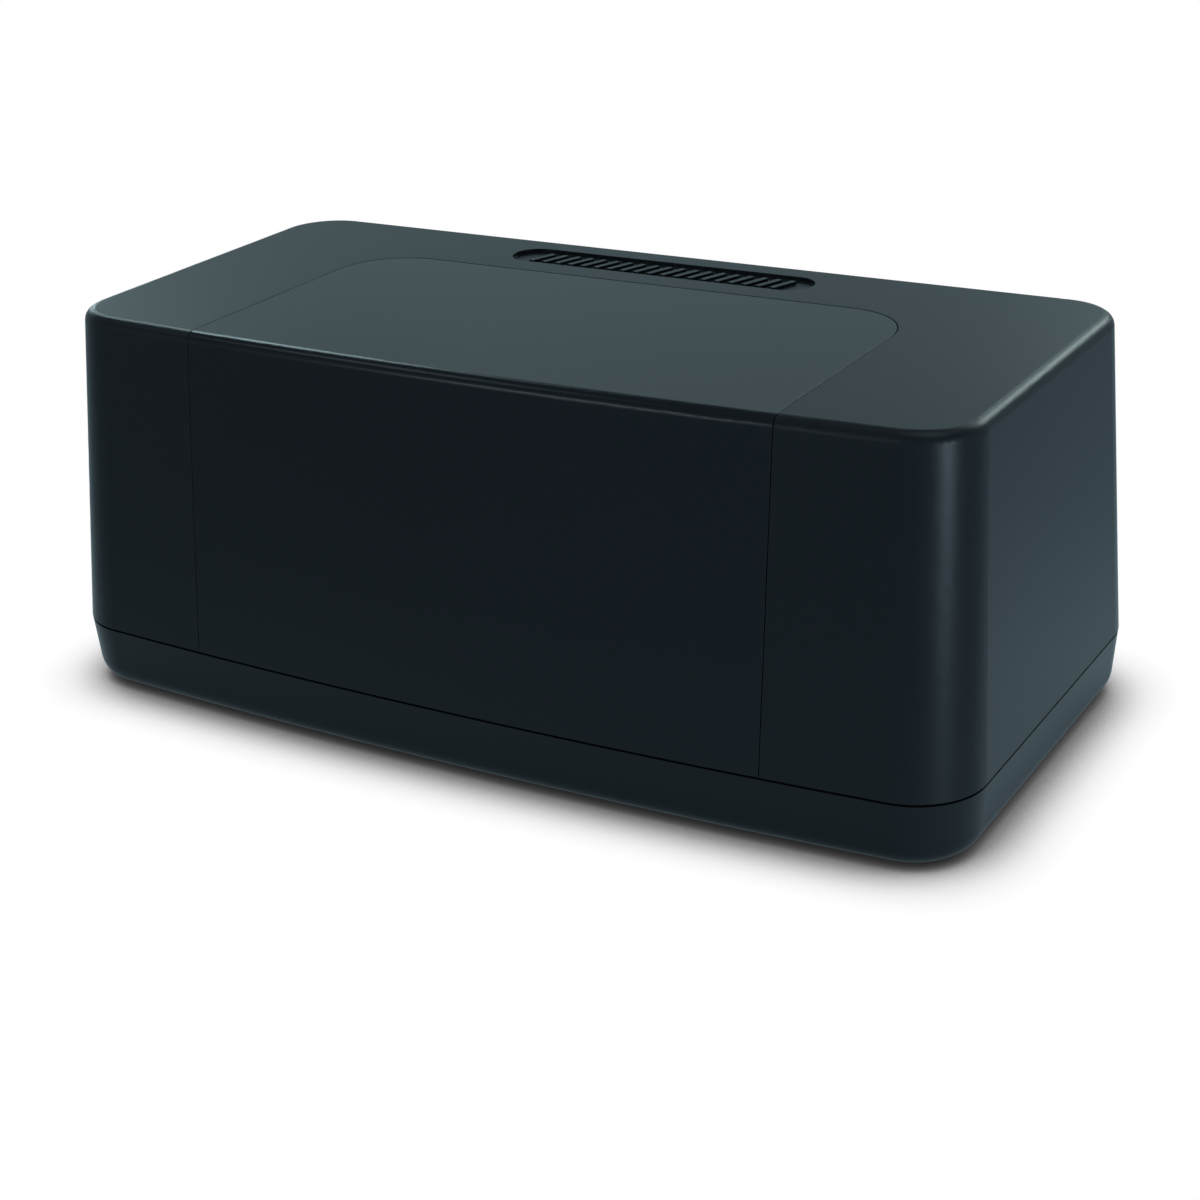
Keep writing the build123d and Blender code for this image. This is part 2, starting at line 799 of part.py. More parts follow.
def bumper_places():
    """Place of each bumper on the rim by its name."""
    x = cover_half_width - bumper_inset
    front = bumper_front_inset - depth / 2
    rear = depth / 2 - bumper_rear_inset
    return {
        "bumper_front_left": (-x, front),
        "bumper_front_right": (x, front),
        "bumper_rear_left": (-x, rear),
        "bumper_rear_right": (x, rear),
    }


def bumper(x, y):
    """Small rubber pad that the closed cover rests on."""
    top = skin_under - bumper_gap
    pad = rod_up(x, y, top - bumper_height, top, bumper_radius)
    rim = pad.edges().filter_by(GeomType.CIRCLE).sort_by(Axis.Z)[-1]
    return fillet(rim, bumper_gap)


# Controls

def control_screw_places():
    """Screw places of the control board."""
    x = control_board_width / 2 - control_post_inset
    y = control_board_depth / 2 - control_post_inset
    return [(sx * x, controls_y + sy * y) for sx in (-1, 1) for sy in (-1, 1)]


def band_slot(margin, low, high):
    """Slot along the travel of the band switch's lever."""
    half = lever_size / 2 + margin
    return block(band_x - half, band_x + band_travel + half, controls_y - half, controls_y + half, low, high)


def control_holes():
    """Holes for the controls, through the fascia and the bay's floor."""
    low = bay_floor_under - edge_slack
    high = fascia_top + edge_slack
    return [
        rod_up(knob_x, controls_y, low, high, bushing_radius + sliding_clearance),
        rod_up(button_x, controls_y, low, high, button_radius + sliding_clearance),
        band_slot(sliding_clearance, low, high),
        rod_up(light_x, controls_y, low, high, light_radius + light_clearance),
    ]


def dial_ticks():
    """Plain ticks round the gain knob."""
    radius = knob_radius + tick_gap + tick_length / 2
    tick = Box(tick_width, tick_length, tick_height * 2)
    ticks = []
    for index in range(tick_count):
        angle = tick_sweep * (index / (tick_count - 1) - 0.5)
        ticks.append(Pos(knob_x, controls_y, fascia_top) * Rot(0, 0, angle) * Pos(0, radius, 0) * tick)
    return joined(ticks)


def control_fascia():
    """Plate on the bay's floor round the controls."""
    face = RectangleRounded(fascia_width, fascia_depth, fascia_corner)
    plate = Pos(0, controls_y, bay_floor_top) * extrude(face, fascia_thickness)
    plate = plate + dial_ticks()
    for hole in control_holes():
        plate = plate - hole
    return plate


def control_board():
    """Circuit board under the bay's floor."""
    board = Pos(0, controls_y, control_board_under + board_thickness / 2) * Box(
        control_board_width, control_board_depth, board_thickness
    )
    for x, y in control_screw_places():
        board = board - rod_up(x, y, 0, far, small_screw_radius)
    return board


def control_board_screws():
    """Screws from below through the control board."""
    sizes = (small_screw_length, small_screw_radius, small_screw_head_radius, small_screw_head_height)
    return group([cross_screw(x, y, control_board_under, *sizes) for x, y in control_screw_places()])


def gain_knob():
    """Fluted knob with a pointer groove, pushed on its shaft."""
    low = fascia_top + knob_lift
    high = low + knob_height
    knob = rod_up(knob_x, controls_y, low, high, knob_radius)
    rim = knob.edges().filter_by(GeomType.CIRCLE).sort_by(Axis.Z)[-1]
    knob = fillet(rim, knob_edge_radius)
    for index in range(flute_count):
        turn = 360 / flute_count * (index + 0.5)
        flute = Pos(0, knob_radius + flute_radius / 2, (low + high) / 2) * Cylinder(flute_radius, knob_height + 1)
        knob = knob - Pos(knob_x, controls_y, 0) * Rot(0, 0, turn) * flute
    pointer = block(knob_x - pointer_width / 2, knob_x + pointer_width / 2, controls_y + knob_radius / 3,
                    controls_y + knob_radius + edge_slack, high - pointer_depth, high + edge_slack)
    knob = knob - pointer
    return knob - rod_up(knob_x, controls_y, low - edge_slack, high - shaft_cap, shaft_radius)


def gain_shaft():
    """Shaft of the gain control, which turns with the knob."""
    low = control_board_top + pot_floor + shaft_clearance
    high = fascia_top + knob_lift + knob_height - shaft_cap
    return rod_up(knob_x, controls_y, low, high, shaft_radius)


def gain_control():
    """Body of the rotary gain control, with the bushing that guides the shaft."""
    body_top = control_board_top + pot_height
    body = rod_up(knob_x, controls_y, control_board_top, body_top, pot_radius)
    body = body + rod_up(knob_x, controls_y, body_top - edge_slack, bay_floor_top, bushing_radius)
    bore_floor = control_board_top + pot_floor
    return body - rod_up(knob_x, controls_y, bore_floor, far, shaft_radius + shaft_clearance)


def power_button():
    """Round push button with a flange that keeps it under the floor."""
    top = fascia_top + button_stand
    flange_top = bay_floor_under - sliding_clearance
    flange_low = flange_top - button_flange_thickness
    cap = rod_up(button_x, controls_y, flange_low, top, button_radius)
    rim = cap.edges().filter_by(GeomType.CIRCLE).sort_by(Axis.Z)[-1]
    cap = fillet(rim, button_edge_radius)
    flange = rod_up(button_x, controls_y, flange_low, flange_top, button_radius + button_flange)
    return cap + flange + rod_up(button_x, controls_y, flange_low - plunger_depth, flange_low + edge_slack, plunger_radius)


def power_switch():
    """Switch body under the button, with the bore that its plunger runs in."""
    half = switch_size / 2
    body = block(button_x - half, button_x + half, controls_y - half, controls_y + half,
                 control_board_top, control_board_top + switch_height)
    return body - rod_up(button_x, controls_y, control_board_top + switch_floor, far, plunger_radius + plunger_clearance)


def band_lever():
    """Lever of the band switch with a ridged cap."""
    body_top = control_board_top + band_switch_height
    half = lever_size / 2
    lever = block(band_x - half, band_x + half, controls_y - half, controls_y + half,
                  body_top - lever_depth, fascia_top + lever_cap_lift + edge_slack)
    low = fascia_top + lever_cap_lift
    high = low + lever_cap_height
    half = lever_cap_size / 2
    cap = block(band_x - half, band_x + half, controls_y - half, controls_y + half, low, high)
    cap = fillet(cap.edges().filter_by(Axis.Z), lever_cap_height * 0.3)
    groove = Box(lever_cap_size / 9, lever_cap_size + 1, lever_cap_height * 0.4)
    for index in (-1, 0, 1):
        cap = cap - Pos(band_x + index * lever_cap_size / 4.5, controls_y, high) * groove
    return lever + cap


def band_switch():
    """Body of the band switch with the channel that the lever slides in."""
    middle = band_x + band_travel / 2
    half = band_switch_length / 2
    body_top = control_board_top + band_switch_height
    body = block(middle - half, middle + half, controls_y - band_switch_width / 2, controls_y + band_switch_width / 2,
                 control_board_top, body_top)
    return body - band_slot(sliding_clearance, body_top - lever_depth - sliding_clearance, far)


def power_led():
    """Light source on the control board."""
    return rod_up(light_x, controls_y, control_board_top, control_board_top + led_height, light_radius)


def light_pipe():
    """Clear pipe that carries the light to the fascia."""
    pipe = rod_up(light_x, controls_y, control_board_top + led_height, fascia_top + light_stand, light_radius)
    rim = pipe.edges().filter_by(GeomType.CIRCLE).sort_by(Axis.Z)[-1]
    return fillet(rim, light_stand)


# Antenna board

def antenna_screw_places():
    """Screw places of the antenna board."""
    x = antenna_board_width / 2 - antenna_post_inset_x
    y = antenna_board_depth / 2 - antenna_post_inset_y
    return [(sx * x, antenna_board_y + sy * y) for sx in (-1, 1) for sy in (-1, 1)]


def antenna_board():
    """Board that carries the receiving elements and the balun."""
    board = Pos(0, antenna_board_y, antenna_board_under + board_thickness / 2) * Box(
        antenna_board_width, antenna_board_depth, board_thickness
    )
    for x, y in antenna_screw_places():
        board = board - rod_up(x, y, 0, far, small_screw_radius)
    return board


def antenna_board_screws():
    """Screws from above into the base's posts."""
    sizes = (small_screw_length, small_screw_radius, small_screw_head_radius, small_screw_head_height)
    return group([cross_screw(x, y, antenna_board_top, *sizes, up=False) for x, y in antenna_screw_places()])


def uhf_element(side):
    """Flat flared half of the short-wave dipole."""
    inner = element_gap / 2
    outer = antenna_board_width / 2 - element_tip_inset
    feed = element_feed_width / 2
    tip = element_tip_width / 2
    points = [(side * inner, -feed), (side * outer, -tip), (side * outer, tip), (side * inner, feed)]
    face = make_face(Polyline(*points, close=True))
    return Pos(0, antenna_board_y, antenna_board_top) * extrude(face, element_thickness, dir=(0, 0, 1))


def vhf_element(side):
    """Strip on edge along the board's back and side, half of the long-wave dipole."""
    outer = antenna_board_width / 2 - strip_inset
    back = antenna_board_back - strip_inset
    front = antenna_board_y - antenna_board_depth / 2 + strip_inset
    top = antenna_board_top + strip_height
    x0, x1 = sorted((side * strip_start, side * outer))
    strip = block(x0, x1, back - strip_thickness, back, antenna_board_top, top)
    x0, x1 = sorted((side * (outer - strip_thickness), side * outer))
    return strip + block(x0, x1, front, back, antenna_board_top, top)


def balun_core():
    """Two-hole ferrite core over the dipole's feed."""
    core = Pos(0, antenna_board_y, antenna_board_top + balun_height / 2) * Box(balun_length, balun_width, balun_height)
    core = fillet(core.edges().filter_by(Axis.Y), balun_hole_radius)
    for side in (-1, 1):
        x = side * balun_hole_spacing / 2
        core = core - rod_back(x, -far, far, antenna_board_top + balun_height / 2, balun_hole_radius)
    return core


def balun_wires():
    """Two wire loops through the core, with their ends down on the board."""
    level = antenna_board_top + balun_height / 2
    reach = balun_width / 2 + balun_wire_overhang
    wires = []
    for side in (-1, 1):
        x = side * balun_hole_spacing / 2
        points = [(x, antenna_board_y - reach, antenna_board_top), (x, antenna_board_y - reach, level),
                  (x, antenna_board_y + reach, level), (x, antenna_board_y + reach, antenna_board_top)]
        path = FilletPolyline(*points, radius=balun_wire_radius * 3)
        section = Plane(origin=points[0], z_dir=(0, 0, 1)) * Circle(balun_wire_radius)
        wires.append(sweep(section, path=path))
    return group(wires)


# Amplifier and rear sockets

def spacer_places():
    """Places of the amplifier board's spacers."""
    x = amplifier_width / 2 - spacer_inset_x
    front = amplifier_y - amplifier_depth / 2 + spacer_inset_y
    back = antenna_board_back - spacer_inset_y
    return [(sx * x, y) for sx in (-1, 1) for y in (front, back)]


def amplifier_board():
    """Small board behind the rear sockets."""
    half = amplifier_width / 2
    board = block(-half, half, amplifier_back - amplifier_depth, amplifier_back, amplifier_under, amplifier_top)
    for x, y in spacer_places():
        board = board - rod_up(x, y, 0, far, small_screw_radius)
    return board


def board_spacers():
    """Round spacers between the antenna board and the amplifier board."""
    spacers = []
    for x, y in spacer_places():
        spacers.append(rod_up(x, y, antenna_board_top, amplifier_under, spacer_radius)
                       - rod_up(x, y, 0, far, small_screw_radius))
    return group(spacers)


def amplifier_screws():
    """Screws through the amplifier board into its spacers."""
    reach = amplifier_lift + board_thickness
    sizes = (reach, small_screw_radius, small_screw_head_radius, small_screw_head_height)
    return group([cross_screw(x, y, amplifier_top, *sizes, up=False) for x, y in spacer_places()])


def shield_can():
    """Thin metal can over the amplifier stage, open at the bottom."""
    front = amplifier_back - amplifier_depth + can_front_inset
    half = can_width / 2
    can = block(can_x - half, can_x + half, front, front + can_depth, amplifier_top, amplifier_top + can_height)
    inside = block(can_x - half + can_sheet, can_x + half - can_sheet, front + can_sheet,
                   front + can_depth - can_sheet, amplifier_top - edge_slack, amplifier_top + can_height - can_sheet)
    return can - inside


def feed_lead():
    """Short coaxial lead from the antenna board to the amplifier board."""
    start_y = antenna_board_y + lead_start_y
    end_y = amplifier_back - amplifier_depth + 2 * lead_radius
    level = amplifier_top + lead_rise
    points = [(lead_x, start_y, antenna_board_top + element_thickness), (lead_x, start_y, level),
              (lead_x, end_y, level), (lead_x, end_y, amplifier_top)]
    path = FilletPolyline(*points, radius=lead_bend)
    section = Plane(origin=points[0], z_dir=(0, 0, 1)) * Circle(lead_radius)
    return sweep(section, path=path)


def header_socket():
    """Plastic socket strip on the antenna board under the control board."""
    length = header_pins * header_pitch
    body = Pos(header_x, header_y, antenna_board_top + header_height / 2) * Box(length, header_width, header_height)
    for x in header_pin_places():
        body = body - rod_up(x, header_y, antenna_board_top + edge_slack, far, header_pin_radius)
    return body


def header_pin_places():
    """X places of the header's pins."""
    return [header_x + (index - (header_pins - 1) / 2) * header_pitch for index in range(header_pins)]


def header_strip():
    """Pin strip under the control board that plugs into the socket strip."""
    length = header_pins * header_pitch
    strip = block(header_x - length / 2, header_x + length / 2, header_y - header_pitch / 2,
                  header_y + header_pitch / 2, header_strip_low, control_board_under)
    for x in header_pin_places():
        pin_low = antenna_board_top + edge_slack
        strip = strip + rod_up(x, header_y, pin_low, header_strip_low + edge_slack, header_pin_radius)
    return strip


def socket_recess():
    """Tub in the back wall that the sockets stand in, with a flange behind the wall."""
    outer_half = recess_half_width + recess_wall
    low = recess_low - recess_wall
    high = recess_high + recess_wall
    tub = block(-outer_half, outer_half, recess_floor_front, far, low, high) & casing_form(recess_fit)
    flange_form = casing_form(wall + recess_fit) - casing_form(wall + recess_fit + recess_wall)
    flange = flange_form & block(-outer_half - recess_flange, outer_half + recess_flange, 0, far,
                                 column_top + tongue_clearance, high + recess_flange)
    tub = tub + flange
    tub = tub - block(-recess_half_width, recess_half_width, recess_floor_back, far, recess_low, recess_high)
    hole = rod_back(socket_x, 0, far, socket_level, socket_neck_radius + socket_hole_clearance)
    nose = rod_back(inlet_x, 0, far, inlet_level, inlet_nose_radius + socket_hole_clearance)
    return tub - hole - nose


def output_socket():
    """Coaxial output socket: square body behind the recess, neck under the nut and free barrel."""
    half = socket_block / 2
    body = block(socket_x - half, socket_x + half, amplifier_back, recess_floor_front,
                 socket_level - half, socket_level + half)
    neck = rod_back(socket_x, recess_floor_front - edge_slack, socket_neck_end, socket_level, socket_neck_radius)
    barrel = rod_back(socket_x, socket_neck_end - edge_slack, socket_tip, socket_level, socket_radius)
    bore = rod_back(socket_x, amplifier_back + edge_slack, socket_tip + edge_slack, socket_level, socket_bore_radius)
    return body + neck + barrel - bore


def socket_insulator():
    """Insulator with the contact hole inside the output socket."""
    tip = socket_tip - socket_insulator_sink
    plug = rod_back(socket_x, amplifier_back + edge_slack, tip, socket_level, socket_bore_radius)
    return plug - rod_back(socket_x, tip - socket_length / 2, tip + edge_slack, socket_level, socket_contact_radius)


def socket_nut():
    """Hexagon nut that clamps the socket to the recess's floor."""
    corner = nut_across_flats / 2 / cos(radians(30))
    hexagon = extrude(RegularPolygon(corner, 6), nut_thickness / 2, both=True)
    nut = Pos(socket_x, (recess_floor_back + socket_neck_end) / 2, socket_level) * Rot(90, 0, 0) * hexagon
    return nut - rod_back(socket_x, 0, far, socket_level, socket_neck_radius)


def power_inlet():
    """Round low-voltage inlet on the amplifier board, with its nose through the recess's floor."""
    half = inlet_width / 2
    body = block(inlet_x - half, inlet_x + half, recess_floor_front - inlet_depth, recess_floor_front,
                 amplifier_top, amplifier_top + inlet_height)
    body = body + rod_back(inlet_x, recess_floor_front - edge_slack, recess_floor_back, inlet_level, inlet_nose_radius)
    bore_floor = recess_floor_back - inlet_bore_depth
    body = body - rod_back(inlet_x, bore_floor, recess_floor_back + edge_slack, inlet_level, inlet_bore_radius)
    return body + rod_back(inlet_x, bore_floor - edge_slack, recess_floor_back - inlet_pin_sink, inlet_level, inlet_pin_radius)


def build_nodes():
    """Every node of the antenna by its name."""
    nodes = {
        "upper_shell": upper_shell(),
        "base_tray": base_tray(),
        "casing_screws": casing_screws(),
        "flip_cover": flip_cover(),
        "arm_screws": arm_screws(),
        "bracket_screws": bracket_screws(),
        "friction_washers": friction_washers(),
        "control_bay": control_bay(),
        "bay_screws": bay_screws(),
        "control_fascia": control_fascia(),
        "control_board": control_board(),
        "control_board_screws": control_board_screws(),
        "gain_knob": gain_knob(),
        "gain_shaft": gain_shaft(),
        "gain_control": gain_control(),
        "power_button": power_button(),
        "power_switch": power_switch(),
        "band_lever": band_lever(),
        "band_switch": band_switch(),
        "power_led": power_led(),
        "light_pipe": light_pipe(),
        "antenna_board": antenna_board(),
        "antenna_board_screws": antenna_board_screws(),
        "balun_core": balun_core(),
        "balun_wires": balun_wires(),
        "amplifier_board": amplifier_board(),
        "board_spacers": board_spacers(),
        "amplifier_screws": amplifier_screws(),
        "shield_can": shield_can(),
        "feed_lead": feed_lead(),
        "header_socket": header_socket(),
        "header_strip": header_strip(),
        "socket_recess": socket_recess(),
        "output_socket": output_socket(),
        "socket_insulator": socket_insulator(),
        "socket_nut": socket_nut(),
        "power_inlet": power_inlet(),
    }
    for name, side in (("left", -1), ("right", 1)):
        nodes["hinge_arm_" + name] = hinge_arm(side)
        nodes["hinge_bracket_" + name] = hinge_bracket(side)
        nodes["hinge_pin_" + name] = hinge_pin(side)
        nodes["hinge_clip_" + name] = hinge_clip(side)
        nodes["uhf_element_" + name] = uhf_element(side)
        nodes["vhf_element_" + name] = vhf_element(side)
    for name, (x, y) in foot_places().items():
        nodes[name] = foot(x, y)
    for name, (x, y) in bumper_places().items():
        nodes[name] = bumper(x, y)
    return nodes


for node_name, node_shape in build_nodes().items():
    export_step(node_shape, "parts/" + node_name + ".step")
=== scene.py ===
import json
import logging
from collections.abc import Callable
from dataclasses import dataclass, field
from enum import Enum
from math import cos, pi, radians, sin
from typing import ClassVar

import bmesh
import bpy
from mathutils import Matrix, Vector


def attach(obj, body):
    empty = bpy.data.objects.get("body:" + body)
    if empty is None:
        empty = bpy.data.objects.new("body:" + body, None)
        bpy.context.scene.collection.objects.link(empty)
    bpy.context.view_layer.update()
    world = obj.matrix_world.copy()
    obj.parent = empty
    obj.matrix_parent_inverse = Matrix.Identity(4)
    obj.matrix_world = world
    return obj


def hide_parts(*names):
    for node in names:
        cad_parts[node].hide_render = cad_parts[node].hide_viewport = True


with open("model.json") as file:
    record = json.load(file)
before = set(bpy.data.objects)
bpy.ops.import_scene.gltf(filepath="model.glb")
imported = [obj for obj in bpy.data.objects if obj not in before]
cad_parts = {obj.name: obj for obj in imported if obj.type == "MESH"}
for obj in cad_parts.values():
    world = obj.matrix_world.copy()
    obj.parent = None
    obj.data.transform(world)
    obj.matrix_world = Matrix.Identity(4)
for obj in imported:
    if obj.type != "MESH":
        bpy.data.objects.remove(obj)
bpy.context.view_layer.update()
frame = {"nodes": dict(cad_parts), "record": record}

log = logging.getLogger("antenna")
Colour = tuple[float, float, float]
Point = tuple[float, float, float]
Stops = tuple[tuple[float, Colour], ...]
Tree = bpy.types.NodeTree
Socket = bpy.types.NodeSocket
Piece = bpy.types.Object

# Places of the Mix node's colour sockets, whose names stand for other kinds of value too
MIX_FACTOR, MIX_FIRST, MIX_SECOND, MIX_RESULT = 0, 6, 7, 2
# Values between which a soft cloud pattern changes
CLOUD = (0.25, 0.75)
X_WAY, Y_WAY, Z_WAY = (1.0, 0.0, 0.0), (0.0, 1.0, 0.0), (0.0, 0.0, 1.0)
FULL_TURN = 360.0
ROUND_STEPS = 72
SIDES = ("left", "right")
CORNERS = ("front_left", "front_right", "rear_left", "rear_right")


# Node helpers

def add_node(tree: Tree, kind: str, **values: object) -> bpy.types.Node:
    """Add a shader node and set its inputs by name.

    Args:
        tree: The material's node tree.
        kind: The node's type name without its ShaderNode prefix.
        values: Socket values, with spaces in their names written as underscores.

    Returns:
        The new node.
    """
    node = tree.nodes.new("ShaderNode" + kind)
    for name, value in values.items():
        node.inputs[name.replace("_", " ")].default_value = value
    return node


def ramp_colour(tree: Tree, value: Socket, stops: Stops) -> Socket:
    """Turn a value into a colour.

    Args:
        tree: The node tree.
        value: Socket with the value.
        stops: Pairs of value and colour, in order.

    Returns:
        The colour's socket.
    """
    ramp = tree.nodes.new("ShaderNodeValToRGB")
    elements = ramp.color_ramp.elements
    while len(elements) < len(stops):
        elements.new(0.5)
    for element, (position, colour) in zip(elements, stops):
        element.position = position
        element.color = (*colour, 1.0)
    tree.links.new(value, ramp.inputs["Fac"])
    return ramp.outputs["Color"]


def mixed_colour(tree: Tree, share: Socket, first: Colour | Socket, second: Colour) -> Socket:
    """Mix two colours by a socket.

    Args:
        tree: The material's node tree.
        share: Socket with the share of the second colour.
        first: Colour at zero, or its socket.
        second: Colour at one.

    Returns:
        The mixed colour's socket.
    """
    mix = tree.nodes.new("ShaderNodeMix")
    mix.data_type = "RGBA"
    tree.links.new(share, mix.inputs[MIX_FACTOR])
    if isinstance(first, Socket):
        tree.links.new(first, mix.inputs[MIX_FIRST])
    else:
        mix.inputs[MIX_FIRST].default_value = (*first, 1.0)
    mix.inputs[MIX_SECOND].default_value = (*second, 1.0)
    return mix.outputs[MIX_RESULT]


def mixed_shader(tree: Tree, share: Socket, first: Socket, second: Socket) -> Socket:
    """Mix two shaders by a socket.

    Args:
        tree: The node tree.
        share: Socket with the share of the second shader.
        first: Shader at zero.
        second: Shader at one.

    Returns:
        The mixed shader's socket.
    """
    mix = tree.nodes.new("ShaderNodeMixShader")
    for place, socket in enumerate((share, first, second)):
        tree.links.new(socket, mix.inputs[place])
    return mix.outputs[0]


def worked_out(tree: Tree, operation: str, first: Socket, second: Socket) -> Socket:
    """Work out one value from two.

    Args:
        tree: The node tree.
        operation: The Math node's operation.
        first: The first value's socket.
        second: The second value's socket.

    Returns:
        The result's socket.
    """
    node = tree.nodes.new("ShaderNodeMath")
    node.operation = operation
    tree.links.new(first, node.inputs[0])
    tree.links.new(second, node.inputs[1])
    return node.outputs[0]


def scaled(colour: Colour, share: float) -> Colour:
    """Return a colour made lighter or darker by a share."""
    return tuple(min(1.0, part * share) for part in colour)


class MaterialBuilder:
    """Starts a node material with a Principled shader on Object coordinates."""

    def __init__(self, name: str) -> None:
        """Make the empty material under its name."""
        self.material = bpy.data.materials.new(name)
        self.material.use_nodes = True
        self.tree = self.material.node_tree
        self.shader = self.tree.nodes["Principled BSDF"]
        coordinates = self.tree.nodes.new("ShaderNodeTexCoord")
        self.mapping = self.tree.nodes.new("ShaderNodeMapping")
        self.tree.links.new(coordinates.outputs["Object"], self.mapping.inputs["Vector"])

    def stretch(self, scale: Point) -> None:
        """Scale the pattern's space along each axis."""
        self.mapping.inputs["Scale"].default_value = scale

    def pattern(self, kind: str, output: str, **values: float) -> Socket:
        """Add a texture in the pattern's space.

        Args:
            kind: The texture node's type name without its ShaderNode prefix.
            output: Name of the output that is used.
            values: Values of the texture's sockets, as for add_node.

        Returns:
            The output's socket.
        """
        node = add_node(self.tree, kind, **values)
        self.tree.links.new(self.mapping.outputs["Vector"], node.inputs["Vector"])
        return node.outputs[output]

    def noise(self, scale: float, detail: float = 3.0, roughness: float = 0.5) -> Socket:
        """Add a noise texture and return its value socket."""
        return self.pattern("TexNoise", "Fac", Scale=scale, Detail=detail, Roughness=roughness)

    def cells(self, scale: float) -> Socket:
        """Add a cell texture and return its distance socket."""
        return self.pattern("TexVoronoi", "Distance", Scale=scale)

    def ranged(self, source: Socket, low: float, high: float,
               start: float = 0.35, end: float = 0.65) -> Socket:
        """Map a pattern to a range of values.

        Args:
            source: The pattern's socket.
            low: Value at and below start.
            high: Value at and above end.
            start: Pattern value where the range starts.
            end: Pattern value where the range ends.

        Returns:
            The mapped value's socket.
        """
        node = add_node(self.tree, "MapRange", From_Min=start, From_Max=end, To_Min=low, To_Max=high)
        self.tree.links.new(source, node.inputs["Value"])
        return node.outputs["Result"]

    def bump(self, height: Socket, depth: float, strength: float, below: Socket | None = None) -> Socket:
        """Raise and sink the surface by a pattern.

        Args:
            height: The pattern's socket.
            depth: Height of the pattern in metres.
            strength: Share of the effect that is used.
            below: Normal that the pattern lies on, where there is one.

        Returns:
            The new normal's socket.
        """
        node = add_node(self.tree, "Bump", Strength=strength, Distance=depth)
        self.tree.links.new(height, node.inputs["Height"])
        if below is not None:
            self.tree.links.new(below, node.inputs["Normal"])
        return node.outputs["Normal"]

    def rounded(self, radius: float) -> Socket:
        """Round the edges in the shading.

        Args:
            radius: How far an edge reaches, in metres.

        Returns:
            The rounded normal's socket.
        """
        bevel = add_node(self.tree, "Bevel", Radius=radius)
        bevel.samples = 4
        return bevel.outputs["Normal"]

    def edge_share(self, rounded: Socket) -> Socket:
        """Tell edges from flats by how far a rounded normal leans.

        Args:
            rounded: The rounded normal's socket.

        Returns:
            A value that is 0 on flats and rises to 1 on edges.
        """
        geometry = self.tree.nodes.new("ShaderNodeNewGeometry")
        dot = self.tree.nodes.new("ShaderNodeVectorMath")
        dot.operation = "DOT_PRODUCT"
        self.tree.links.new(rounded, dot.inputs[0])
        self.tree.links.new(geometry.outputs["Normal"], dot.inputs[1])
        return self.ranged(dot.outputs["Value"], 1.0, 0.0, start=0.90, end=0.995)

    def set(self, **values: object) -> None:
        """Set values on the shader's own sockets, with spaces in names written as underscores."""
        for name, value in values.items():
            self.shader.inputs[name.replace("_", " ")].default_value = value

    def link(self, socket: Socket, name: str) -> None:
        """Join a socket to one of the shader's inputs."""
        self.tree.links.new(socket, self.shader.inputs[name])


# Finishes

@dataclass(frozen=True)
class Recipe:
    """Name and colour of a finish, which its kinds lay out as nodes."""

    name: str
    colour: Colour

    def make(self) -> bpy.types.Material:
        """Build the material and return it."""
        build = MaterialBuilder(self.name)
        self.fill(build)
        return build.material

    def fill(self, build: MaterialBuilder) -> None:
        """Lay out the nodes of the material that is being built."""


@dataclass(frozen=True)
class MouldedPlastic(Recipe):
    """Injection-moulded plastic with a spark-eroded grain, faint mottling and rubbed edges.

    Attributes:
        roughness: Mean roughness.
        level: Strength of the surface's mirror share.
        grain, grain_depth: Scale of the grain and its depth in metres.
        cloud, mottle: Scale of the mottling and the share by which it changes the colour.
        edge: How far an edge reaches, in metres.
        wear, rub, rubbed: Scale of the rubbed patches, their largest share and how much lighter they are.
    """

    roughness: float = 0.45
    level: float = 0.3
    grain: float = 2600.0
    grain_depth: float = 0.00003
    cloud: float = 7.0
    mottle: float = 0.12
    edge: float = 0.00025
    wear: float = 160.0
    rub: float = 0.5
    rubbed: float = 2.2

    def fill(self, build: MaterialBuilder) -> None:
        """Lay out the nodes of the material that is being built."""
        fine = build.noise(self.grain, detail=2.0, roughness=0.6)
        cloud = build.noise(self.cloud, detail=2.0)
        rounded = build.rounded(self.edge)
        tone = mixed_colour(build.tree, build.ranged(cloud, 0.0, 1.0, *CLOUD),
                            scaled(self.colour, 1.0 - self.mottle), scaled(self.colour, 1.0 + self.mottle))
        patches = build.ranged(build.noise(self.wear, roughness=0.7), 0.0, self.rub, start=0.42, end=0.66)
        worn = worked_out(build.tree, "MULTIPLY", build.edge_share(rounded), patches)
        build.link(mixed_colour(build.tree, worn, tone, scaled(self.colour, self.rubbed)), "Base Color")
        build.link(build.ranged(cloud, self.roughness - 0.01, self.roughness + 0.015, *CLOUD), "Roughness")
        build.link(build.bump(fine, self.grain_depth, 0.35, rounded), "Normal")
        build.set(Specular_IOR_Level=self.level)


